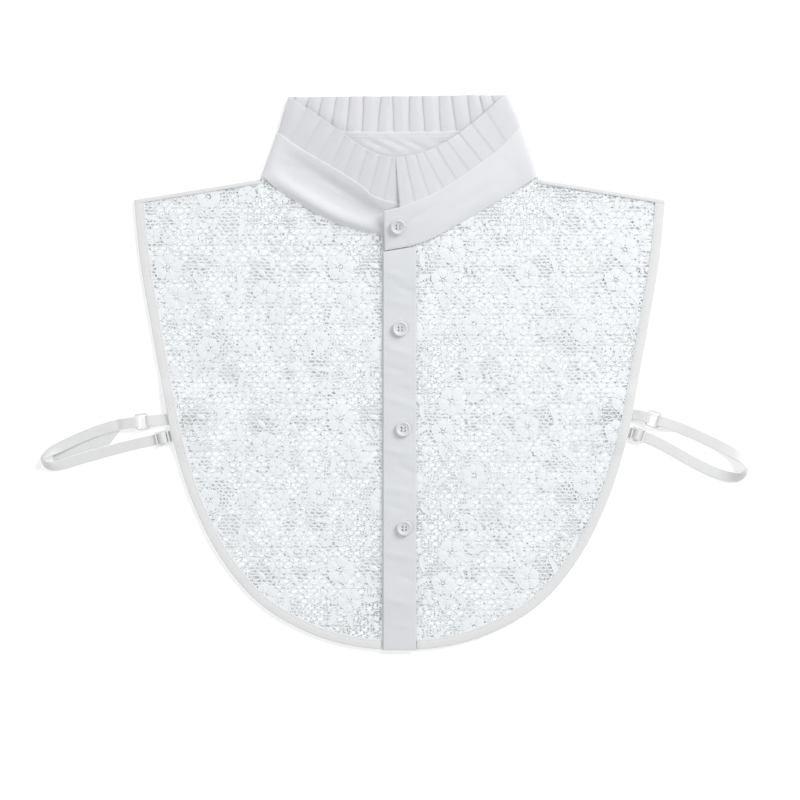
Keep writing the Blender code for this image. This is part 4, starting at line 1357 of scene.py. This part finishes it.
def frillGrid():
    plain, pleated, height = pleatPlaces()
    turns = [collar.distanceOf(s) for s in frill["turns"]]
    away = np.min([np.abs(plain - t) for t in turns], axis=0)
    calm = softStep((away - frill["still"][0]) / frill["still"][1])
    down = spaced(1.0, 1.0 / frill["rows"], 0.02)
    along = plain + (pleated - plain) * calm
    root, outward = collar.at(along), collarOut(along)
    up = root[:, 3:6] - root[:, 0:3]
    up /= np.linalg.norm(up, axis=1)[:, None]
    low = root[:, 3:6] + up * frill["rootStep"]
    rng = np.random.default_rng(5)
    uneven = np.repeat(rng.uniform(*frill["uneven"], frill["pleats"]), frill["points"])
    sway = np.repeat(rng.uniform(-1, 1, frill["pleats"]), frill["points"])
    pressed = np.where((plain < turns[0]) | (plain > turns[1]), frill["frontDepth"], 1.0)[:, None]
    free = frill["freeDepth"] * uneven[:, None]
    depth = frill["rootDepth"] + (free - frill["rootDepth"]) * down[None] ** 1.4
    aside = np.stack([up[:, 1], -up[:, 0], 0 * up[:, 0]], 1)
    grid = low[:, None] + (root[:, 6:9] - low)[:, None] * down[None, :, None]
    grid = grid + outward[:, None] * (height * calm)[:, None, None] * (depth * pressed)[..., None]
    grid = grid + aside[:, None] * (frill["sway"] * sway * calm)[:, None, None] * (down ** 2)[None, :, None]
    grid[..., 2] = np.maximum(grid[..., 2], frill["low"])
    return grid


def buildFrill(look):
    grid = frillGrid()
    reach = lengthsOver(grid, 1)
    free = reach[:, -1:] - reach
    thick = frill["cloth"] + (frill["hem"] - frill["cloth"]) * (free < frill["hemDeep"])
    middle = grid[:, grid.shape[1] // 2]
    frill["flat"] = (np.linalg.norm(np.diff(middle, axis=0), axis=1).sum(), reach[:, -1].mean())
    print("frill", frill["pleats"], "pleats from a strip", [round(v) for v in frill["flat"]], "mm")
    return {"collarFrill": ("collar_frill", addShell("collarFrill", grid, thick, look))}


# Elastic loops, rings and sliders

strap = {
    "width": 7.5,
    "thick": 0.95,
    "ribs": 9,
    "ribDepth": 0.16,
    "across": 36,
    "step": 1.1,
    "lap": 8.0,
    "ringGap": 0.45,
    "tail": 6.2,
    "slant": 9.0,
    "slantOver": 18.0,
    "middle": 0.5,  # its middle above the floor
    "boxFrom": 2.5,  # the crossed box of stitches on the tab
    "boxTo": 17.0,
    "boxHalf": 2.7,
}
ring = {"wire": 1.5, "halfAlong": 4.35, "halfAcross": 5.3, "corner": 1.6}
slider = {
    "bar": 1.1,
    "window": 3.1,
    "middle": 1.2,
    "halfAcross": 5.1,
    "rail": 1.05,
    "low": 1.4,
    "high": 2.6,
}
rings = {
    # x, y, turn in degrees
    "Left": (-180.3, -34.3, 187.0),
    "Right": (177.4, -32.6, -16.0),
}
straps = {
    "Left": [
        # x, y, rise of the outer edge in degrees, lift
        (-184.62, -34.83, 0.0, 0.0),
        (-197.0, -36.5, 0.0, 1.35),
        (-209.0, -39.9, 0.0, 1.35),
        (-223.0, -45.3, 0.0, 1.35),
        (-236.3, -51.5, 8.0, 1.1),
        (-245.6, -56.2, 45.0, 0.35),
        (-249.6, -60.4, 68.0, 0.45),
        (-246.6, -64.6, 48.0, 0.35),
        (-236.0, -64.2, 8.0, 0.3),
        (-222.0, -60.0, 0.0, 0.1),
        (-205.0, -55.2, 0.0, 0.0),
        (-186.0, -50.3, 0.0, 0.0),
        (-166.2, -45.9, 0.0, 0.0),
        (-160.05, -44.5, 0.0, 0.0),
    ],
    "Right": [
        (181.58, -33.8, 0.0, 0.0),
        (192.2, -37.2, 0.0, 0.0),
        (206.8, -43.2, 0.0, 0.0),
        (221.7, -50.2, 0.0, 0.15),
        (232.9, -56.2, 12.0, 0.35),
        (240.2, -61.6, 48.0, 0.35),
        (242.5, -67.2, 68.0, 0.45),
        (239.8, -71.8, 52.0, 0.35),
        (231.5, -73.0, 18.0, 0.4),
        (221.5, -70.2, 0.0, 0.15),
        (210.5, -65.2, 0.0, 0.0),
        (199.3, -59.2, 0.0, 0.0),
        (188.1, -52.9, 0.0, 0.0),
        (176.9, -47.2, 0.0, 0.0),
        (166.5, -43.5, 0.0, 0.0),
        (160.5, -41.7, 0.0, 0.0),
    ],
}
tabs = {
    "Left": [(-140.0, -32.6), (-158.0, -32.9), (-168.0, -33.1), (-175.98, -33.77)],
    "Right": [(140.0, -28.4), (156.0, -28.8), (166.0, -29.6), (173.22, -31.4)],
}
secondPly = [
    (-195.0, -44.1), (-200.5, -45.4), (-209.0, -48.0), (-222.0, -51.7), (-236.0, -56.1), (-243.0, -58.4),
]
elasticColour = {
    "colour": (0.87, 0.88, 0.875), "thread": 0.34, "slub": 0.8, "cloud": 11.0,
    "bump": 0.3, "mottle": 0.05, "rough": 0.42, "sheen": 0.15,
}
plasticColour = {"colour": (0.86, 0.865, 0.865), "rough": 0.22, "grain": 0.9, "bump": 0.03}


def plasticLook(name, look):
    # moulded plastic, smooth with a trace of unevenness in its gloss
    made, tree, shader = shaderOf(name)
    new = tree.nodes.new
    place, grain, bump, gloss = (new(kind) for kind in (
        "ShaderNodeTexCoord", "ShaderNodeTexNoise", "ShaderNodeBump", "ShaderNodeMapRange"))
    grain.inputs["Scale"].default_value = 1 / (look["grain"] * mm)
    bump.inputs["Strength"].default_value = look["bump"]
    bump.inputs["Distance"].default_value = 0.1 * mm
    gloss.inputs["To Min"].default_value = look["rough"] * 0.8
    gloss.inputs["To Max"].default_value = look["rough"] * 1.3
    joinSockets(tree, [
        (place.outputs["Object"], grain.inputs["Vector"]),
        (grain.outputs["Fac"], bump.inputs["Height"]),
        (bump.outputs["Normal"], shader.inputs["Normal"]),
        (grain.outputs["Fac"], gloss.inputs["Value"]),
        (gloss.outputs["Result"], shader.inputs["Roughness"]),
    ])
    shader.inputs["Base Color"].default_value = (*look["colour"], 1)
    shader.inputs["Subsurface Weight"].default_value = 0.15
    shader.inputs["Subsurface Radius"].default_value = (1.0 * mm, 1.0 * mm, 1.0 * mm)
    return made


def strapGrid(curve, profile, outer):
    # a strap's middle surface; the profile gives its height at each distance and may turn back
    fine = smoothRows(profile, 8)
    steps = np.concatenate([[0], np.cumsum(np.hypot(*np.diff(fine, axis=0).T))])
    even = spaced(steps[-1], strap["step"] * 0.7, 0.45)
    distance, z = (np.interp(even, steps, column) for column in fine.T)
    inner = np.clip(distance, 0, curve.length)
    rows, turn = curve.at(inner), curve.heading(inner)
    spare = (distance - inner)[:, None]
    place = rows[:, :2] + spare * np.stack([np.cos(turn), np.sin(turn)], 1)
    rise = np.zeros(len(rows))
    lift = rise
    if rows.shape[1] > 2:
        rise, lift = np.radians(np.maximum(rows[:, 2], 0)), np.maximum(rows[:, 3], 0)
    flat = np.stack([outer * np.sin(turn), -outer * np.cos(turn), 0 * turn], 1)
    across = flat * np.cos(rise)[:, None] + np.array([0, 0, 1.0]) * np.sin(rise)[:, None]
    half = strap["width"] / 2
    centre = np.column_stack([place, z + lift + half * np.sin(rise)])
    share = spaced(2 * half, 2 * half / strap["across"], 0.4) - half
    return centre[:, None] + across[:, None] * share[None, :, None], share


def ribbedThickness(share):
    wave = np.cos(math.tau * share / strap["width"] * strap["ribs"])
    return strap["thick"] - strap["ribDepth"] * (1 - wave)[None] * np.ones((1, len(share)))


def ringHeight():
    return 2 * strap["middle"] + strap["ringGap"] + ring["wire"] / 2


def lappedEnd(bar):
    # up to a ring's bar, over and round it, and back below
    low, barZ = strap["middle"], ringHeight()
    radius = barZ - low
    rows = [
        (bar - strap["lap"] - 1.2, low + 1.45),
        (bar - 4.2, barZ + 0.95),
        (bar - 1.0, barZ + radius - 0.1),
    ]
    for angle in (75, 45, 15, -15, -45, -75):
        turn = math.radians(angle)
        rows.append((bar + radius * math.cos(turn), barZ + radius * math.sin(turn)))
    return rows + [(bar - 1.0, low), (bar - strap["lap"], low)]


def addStrap(name, curve, profile, outer, look):
    grid, share = strapGrid(curve, profile, outer)
    return addShell(name, grid, np.broadcast_to(ribbedThickness(share), grid.shape[:2]), look)


def boxStitches(tab):
    # a crossed box where the tab is sewn to the front
    near, far = tab.at(np.array([strap["boxFrom"], strap["boxTo"]]))[:, :2]
    half = np.array([0, strap["boxHalf"]])
    corners = np.array([near + half, far + half, far - half, near - half])
    for first, second in ((0, 1), (1, 2), (2, 3), (3, 0), (0, 2), (1, 3)):
        path = corners[first] + (corners[second] - corners[first]) * np.linspace(0, 1, 9)[:, None]
        z = laceFrontHeight(path[:, 0], path[:, 1]) + 0.28
        stitchLines["binding"].append(np.column_stack([path, z]))


def addSecondPly(look):
    # the part of it that shows; its free end is cut on the slant
    ply = Line(secondPly)
    grid, share = strapGrid(ply, [(d, strap["middle"]) for d in np.linspace(0, ply.length, 8)], -1)
    near = np.clip(1 - lengthsOver(grid, 0) / strap["slantOver"], 0, 1)
    slant = strap["slant"] * (share / strap["width"] + 0.5)[None] * near
    along = grid[-1, 0] - grid[0, 0]
    grid = grid + slant[..., None] * along / np.linalg.norm(along)
    return addShell("strapLeftPly", grid, np.broadcast_to(ribbedThickness(share), grid.shape[:2]), look)


def buildLoop(side, label, elastic, plastic):
    key = label.lower()
    curve, low = Line(straps[label]), strap["middle"]
    middle = curve.length - strap["tail"]
    profile = [(-d, z) for d, z in lappedEnd(0.0)[::-1]]
    run = np.arange(strap["lap"] + 4.6, middle - 6.4, 3.4)
    profile += [(d, low) for d in run]
    over = slider["high"] + 0.3 + low
    slope = slider["middle"] / 2 + slider["window"] - 0.3
    profile += [(middle - slope, low), (middle - 0.95, over), (middle + 0.95, over)]
    profile += [(middle + slope, low), (curve.length, low)]
    made = {"strap" + label: ("strap_" + key, addStrap("strap" + label, curve, profile, side, elastic))}
    tab = Line(tabs[label])
    flat = tab.length - strap["lap"] - 3.0
    profile = [(d, garment["frontMid"]) for d in np.linspace(0, flat, 6)] + lappedEnd(tab.length)
    made["tab" + label] = ("tab_" + key, addStrap("tab" + label, tab, profile, side, elastic))
    made["ring" + label] = ("ring_" + key, addRing("ring" + label, rings[label], plastic))
    place = (*curve.at(middle)[0, :2], curve.heading(middle)[0])
    made["slider" + label] = ("slider_" + key, addSlider("slider" + label, place, plastic))
    boxStitches(tab)
    if side < 0:
        made["strapLeftPly"] = ("strap_left_ply", addSecondPly(elastic))
    print(key, "loop")
    return made


def addRing(name, place, look):
    x, y, turn = place
    path = []
    for quarter in range(4):
        sideX, sideY = (1 if quarter in (0, 3) else -1), (1 if quarter in (0, 1) else -1)
        for step in range(9):
            angle = math.pi / 2 * (quarter + step / 8)
            path.append((
                sideX * (ring["halfAlong"] - ring["corner"]) + ring["corner"] * math.cos(angle),
                sideY * (ring["halfAcross"] - ring["corner"]) + ring["corner"] * math.sin(angle),
                ringHeight(),
            ))
    points, quads = placed(tube(path, ring["wire"] / 2, 16, True), x, y, math.radians(turn))
    return addMesh(name, points, quads, look)


def addSlider(name, place, look):
    # a flat frame with two windows and softened edges
    x, y, turn = place
    half = slider["middle"] / 2
    along = [-half - slider["window"] - slider["bar"], -half - slider["window"], -half]
    along += [-a for a in along[::-1]]
    across = [-slider["halfAcross"], -slider["halfAcross"] + slider["rail"]]
    across += [-a for a in across[::-1]]
    shape = bmesh.new()
    spots = {}
    for i, a in enumerate(along):
        for j, c in enumerate(across):
            spots[i, j] = shape.verts.new((a, c, slider["low"]))
    for i in range(5):
        for j in range(3):
            # all but the two windows
            if j != 1 or i not in (1, 3):
                shape.faces.new([spots[i, j], spots[i + 1, j], spots[i + 1, j + 1], spots[i, j + 1]])
    raised = bmesh.ops.extrude_face_region(shape, geom=shape.faces[:])
    moved = [v for v in raised["geom"] if isinstance(v, bmesh.types.BMVert)]
    bmesh.ops.translate(shape, verts=moved, vec=(0, 0, slider["high"] - slider["low"]))
    bmesh.ops.recalc_face_normals(shape, faces=shape.faces)
    sharp = [e for e in shape.edges if e.calc_face_angle(0) > 0.5]
    bmesh.ops.bevel(shape, geom=sharp, offset=0.4, segments=3, affect="EDGES", profile=0.5)
    bmesh.ops.triangulate(shape, faces=shape.faces)
    points = np.array([v.co for v in shape.verts])
    shape.verts.index_update()
    faces = np.array([[v.index for v in f.verts] for f in shape.faces])
    shape.free()
    points, faces = placed((points, faces), x, y, turn)
    return addMesh(name, points, faces, look)


# Buttons

button = {
    "radius": 5.3,
    "rim": 1.2,
    "thick": 2.2,
    "dish": 0.75,
    "hole": 0.72,
    "holeRing": 1.5,
    "sides": 64,
    "holeLong": 12.6,  # the worked buttonhole
    "thread": 0.24,
    "shank": 0.5,  # from the cloth to the button
}
buttonSpots = [(-1.5, 101.8), (0.3, 30.5), (2.4, -39.6), (3.1, -108.9)]
buttonColour = {"colour": (0.77, 0.78, 0.795), "rough": 0.42, "grain": 2.4, "bump": 0.04}


def buttonShape():
    # a turned disc with a round rim, a shallow dish and four thread holes
    radius, thick = button["radius"], button["thick"]
    floor = thick - button["dish"]
    lip = radius - button["rim"]
    profile = [(0.0, 0.2), (radius - 2.2, 0.05), (radius - 1.2, 0.2)]
    turns = np.linspace(-1.2, 1.57, 9)
    profile += [(radius - 0.62 + 0.62 * math.cos(a), thick - 0.95 + 0.95 * math.sin(a)) for a in turns]
    profile += [(lip, thick - 0.1), (lip - 0.35, thick - 0.32), (lip - 0.8, floor + 0.04), (0.0, floor)]
    shape = bmesh.new()
    spots = [shape.verts.new((r, 0, z)) for r, z in profile]
    edges = [shape.edges.new(pair) for pair in zip(spots, spots[1:])]
    bmesh.ops.spin(
        shape, geom=spots + edges, cent=(0, 0, 0), axis=(0, 0, 1),
        angle=math.tau, steps=button["sides"], use_merge=True,
    )
    bmesh.ops.remove_doubles(shape, verts=shape.verts, dist=1e-4)
    bmesh.ops.recalc_face_normals(shape, faces=shape.faces)
    mesh = bpy.data.meshes.new("buttonBlank")
    shape.to_mesh(mesh)
    shape.free()
    blank = linked("buttonBlank", mesh)
    cutters, size = [], button["hole"]
    for quarter in range(4):
        angle = math.pi / 4 + quarter * math.pi / 2
        hole = bmesh.new()
        bmesh.ops.create_cone(hole, cap_ends=True, segments=20, radius1=size, radius2=size, depth=9)
        spot = (button["holeRing"] * math.cos(angle), button["holeRing"] * math.sin(angle), 0)
        bmesh.ops.translate(hole, verts=hole.verts, vec=spot)
        cutterMesh = bpy.data.meshes.new("buttonHole")
        hole.to_mesh(cutterMesh)
        hole.free()
        cutters.append(linked("buttonHole", cutterMesh))
        cut = blank.modifiers.new("hole", "BOOLEAN")
        cut.operation = "DIFFERENCE"
        cut.object = cutters[-1]
    made = afterModifiers(blank)
    for helper in [blank] + cutters:
        bpy.data.objects.remove(helper, do_unlink=True)
    return trianglesOf(made)


def bandSpot(x, y):
    # the band's point over this place at its right end, and its outward direction
    distance = np.linspace(collar.distanceOf(17.5), collar.length, 80)
    grid = bandGrid(distance, np.linspace(0.2, 0.9, 60))
    away = np.hypot(grid[..., 0] - x, grid[..., 1] - y)
    i, j = np.unravel_index(away.argmin(), away.shape)
    out = collarOut(distance)[i]
    return grid[i, j], out if out[2] > 0 else -out


def buttonholeOf(base, turned, level):
    # a slit worked round with close stitches: across on the band, up and down on the placket
    turns = np.linspace(0, math.tau, 40, endpoint=False)
    long = button["holeLong"] / 2 * np.cos(turns)
    short = 0.75 * np.sign(np.sin(turns)) * np.abs(np.sin(turns)) ** 0.4
    path = np.stack([long, short] if level else [short, long], 1)
    points, quads = ridge(path, 0.8, 0.3, -0.5, closed=True)
    return points @ turned.T + base, quads


def buildButtons(look, threadMade):
    shape = buttonShape()
    made, threads, worked = {}, [], []
    spread = button["holeRing"] / math.sqrt(2)
    for number, (x, y) in enumerate(buttonSpots, 1):
        base, out = np.array([x, y, placketHeight(x, y)]), np.array([0, 0, 1.0])
        if number == 1:
            base, out = bandSpot(x, y)
        turned = np.array(Vector((0, 0, 1)).rotation_difference(Vector(out)).to_matrix())
        base = base + out * (placket["thick"] / 2 + button["shank"])
        name = "button" + str(number)
        piece = addMesh(name, shape[0] @ turned.T + base, shape[1], look)
        made[name] = ("button_" + str(number), piece)
        top = button["thick"] - button["dish"]
        for side in (-1, 1):
            for strand in (-0.22, 0.22):
                lean = 0.1 * side * number % 0.3
                across = np.linspace(-spread, spread, 9)
                arch = top + 0.32 - 1.9 * np.abs(across / spread) ** 6
                beside = 0 * across + side * spread + strand + lean * across / spread
                path = np.stack([across, beside, arch], 1)
                threads.append(tube(path @ turned.T + base, button["thread"], 6))
        worked.append(buttonholeOf(base, turned, number == 1))
    points, quads = joined(worked)
    made["buttonholes"] = (None, addMesh("buttonholes", points, quads, threadMade))
    points, quads = joined(threads)
    made["buttonThread"] = (None, addMesh("buttonThread", points, quads, threadMade))
    print("buttons", len(buttonSpots))
    return made


# Stitches along the seams, and the crossed boxes that hold the strap ends

stitch = {"pitch": 2.7, "long": 1.0, "wide": 0.24, "high": 0.17}
stitchColour = {
    "colour": (0.84, 0.85, 0.87), "fibre": 0.2, "cloud": 12.0,
    "bump": 0.3, "mottle": 0.05, "rough": 0.6, "sheen": 0.2,
}


def stitchTree():
    tree, given, result = newTree("stitchRow", [
        ("Pitch", "NodeSocketFloat", stitch["pitch"]),
        ("Half Length", "NodeSocketFloat", stitch["long"]),
        ("Half Width", "NodeSocketFloat", stitch["wide"]),
        ("Half Height", "NodeSocketFloat", stitch["high"]),
        ("Material", "NodeSocketMaterial", None),
    ])
    new = tree.nodes.new
    line, even = new("GeometryNodeMeshToCurve"), new("GeometryNodeResampleCurve")
    spots = new("GeometryNodeCurveToPoints")
    even.mode = "LENGTH"
    spots.mode = "EVALUATED"
    bead, size = new("GeometryNodeMeshUVSphere"), new("ShaderNodeCombineXYZ")
    shape = new("GeometryNodeTransform")
    bead.inputs["Segments"].default_value = 6
    bead.inputs["Rings"].default_value = 4
    bead.inputs["Radius"].default_value = 1.0
    aim, spread = new("FunctionNodeAlignRotationToVector"), new("GeometryNodeInstanceOnPoints")
    aim.axis = "X"
    plain, finish = new("GeometryNodeRealizeInstances"), new("GeometryNodeSetMaterial")
    joinSockets(tree, [
        (given.outputs["Geometry"], line.inputs["Mesh"]),
        (line.outputs["Curve"], even.inputs["Curve"]),
        (given.outputs["Pitch"], even.inputs["Length"]),
        (even.outputs["Curve"], spots.inputs["Curve"]),
        (given.outputs["Half Length"], size.inputs["X"]),
        (given.outputs["Half Width"], size.inputs["Y"]),
        (given.outputs["Half Height"], size.inputs["Z"]),
        (bead.outputs["Mesh"], shape.inputs["Geometry"]),
        (size.outputs["Vector"], shape.inputs["Scale"]),
        (spots.outputs["Tangent"], aim.inputs["Vector"]),
        (spots.outputs["Points"], spread.inputs["Points"]),
        (shape.outputs["Geometry"], spread.inputs["Instance"]),
        (aim.outputs["Rotation"], spread.inputs["Rotation"]),
        (spread.outputs["Instances"], plain.inputs["Geometry"]),
        (plain.outputs["Geometry"], finish.inputs["Geometry"]),
        (given.outputs["Material"], finish.inputs["Material"]),
        (finish.outputs["Geometry"], result.inputs["Geometry"]),
    ])
    return tree


def buildStitches(look):
    tree = stitchTree()
    made = {}
    for key, lines in stitchLines.items():
        points, edges = [], []
        for path in lines:
            start = len(points)
            points += path.tolist()
            edges += [(start + i, start + i + 1) for i in range(len(path) - 1)]
        source = sourceMesh(key + "Seams", points, edges)
        points, faces = trianglesOf(runTree(source, tree, {"Material": look}))
        name = key + "Stitches"
        made[name] = addMesh(name, points, faces, look)
        print(name, len(faces), "faces")
    return made


stitchLines = {"binding": [], "placket": []}
wovenMade = clothLook("wovenCotton", wovenColour)
threadMade = threadLook("sewingThread", stitchColour)
plasticMade = plasticLook("ringPlastic", plasticColour)
elasticMade = clothLook("elasticWeb", elasticColour)
standing = {}
tapeMade = clothLook("bindingTape", bindingColour)
standing.update(buildBindings(tapeMade))
standing.update((name, (None, piece)) for name, piece in buildShoulders(tapeMade).items())
standing.update(buildPlacket(wovenMade))
standing.update(buildBand(clothLook("bandCottonPaintedLight", bandPaintedLightColour)))
standing.update(buildFrill(clothLook("frillVoile", frillColour)))
standing.update(buildLoop(-1, "Left", elasticMade, plasticMade))
standing.update(buildLoop(1, "Right", elasticMade, plasticMade))
standing.update(buildButtons(plasticLook("buttonResin", buttonColour), threadMade))
stitches = buildStitches(threadMade)


# Floor, light and camera

stageLook = {
    "floor": 1.6,
    "floorGlow": 0.3,
    "world": 0.5,
    "cameraHigh": 2.6,
    "view": 0.56,  # metres across the picture
    "viewX": 0.0035,
    "viewY": -0.01925,
    "keyPower": 33.0,
    "keyPlace": (1.35, 1.3, 1.25),
    "keySize": 1.1,
    "fillPower": 5.5,
    "fillPlace": (-1.1, -0.4, 1.3),
    "fillSize": 1.4,
}


def buildFloor():
    half = stageLook["floor"] / 2
    mesh = bpy.data.meshes.new("floor")
    corners = [(-half, -half, 0), (half, -half, 0), (half, half, 0), (-half, half, 0)]
    mesh.from_pydata(corners, [], [(0, 1, 2, 3)])
    made, _, shader = shaderOf("floorPaper")
    shader.inputs["Base Color"].default_value = (0.9, 0.9, 0.9, 1)
    shader.inputs["Roughness"].default_value = 0.9
    shader.inputs["Emission Color"].default_value = (1, 1, 1, 1)
    shader.inputs["Emission Strength"].default_value = stageLook["floorGlow"]
    mesh.materials.append(made)
    linked("floor", mesh)


def addArea(name, place, size, power):
    data = bpy.data.lights.new(name, "AREA")
    data.shape = "SQUARE"
    data.size = size
    data.energy = power
    lamp = linked(name, data)
    lamp.location = place
    lamp.rotation_euler = (-Vector(place)).to_track_quat("-Z", "Y").to_euler()


def buildStage():
    buildFloor()
    world = bpy.data.worlds.new("studio")
    world.use_nodes = True
    world.node_tree.nodes["Background"].inputs["Color"].default_value = (1, 1, 1, 1)
    world.node_tree.nodes["Background"].inputs["Strength"].default_value = stageLook["world"]
    bpy.context.scene.world = world
    addArea("keyLight", stageLook["keyPlace"], stageLook["keySize"], stageLook["keyPower"])
    addArea("fillLight", stageLook["fillPlace"], stageLook["fillSize"], stageLook["fillPower"])
    data = bpy.data.cameras.new("camera")
    data.angle = 2 * math.atan(stageLook["view"] / 2 / stageLook["cameraHigh"])
    camera = linked("camera", data)
    camera.location = (stageLook["viewX"], stageLook["viewY"], stageLook["cameraHigh"])
    bpy.context.scene.camera = camera
    bpy.context.scene.view_settings.view_transform = "Standard"
    print("floor, light and camera")


buildStage()

for name, piece in laceMade.items():
    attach(piece, "root")
    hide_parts(lacePanels[name]["node"])
for name, (node, piece) in standing.items():
    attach(piece, "root")
    if node:
        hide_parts(node)
for piece in stitches.values():
    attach(piece, "root")
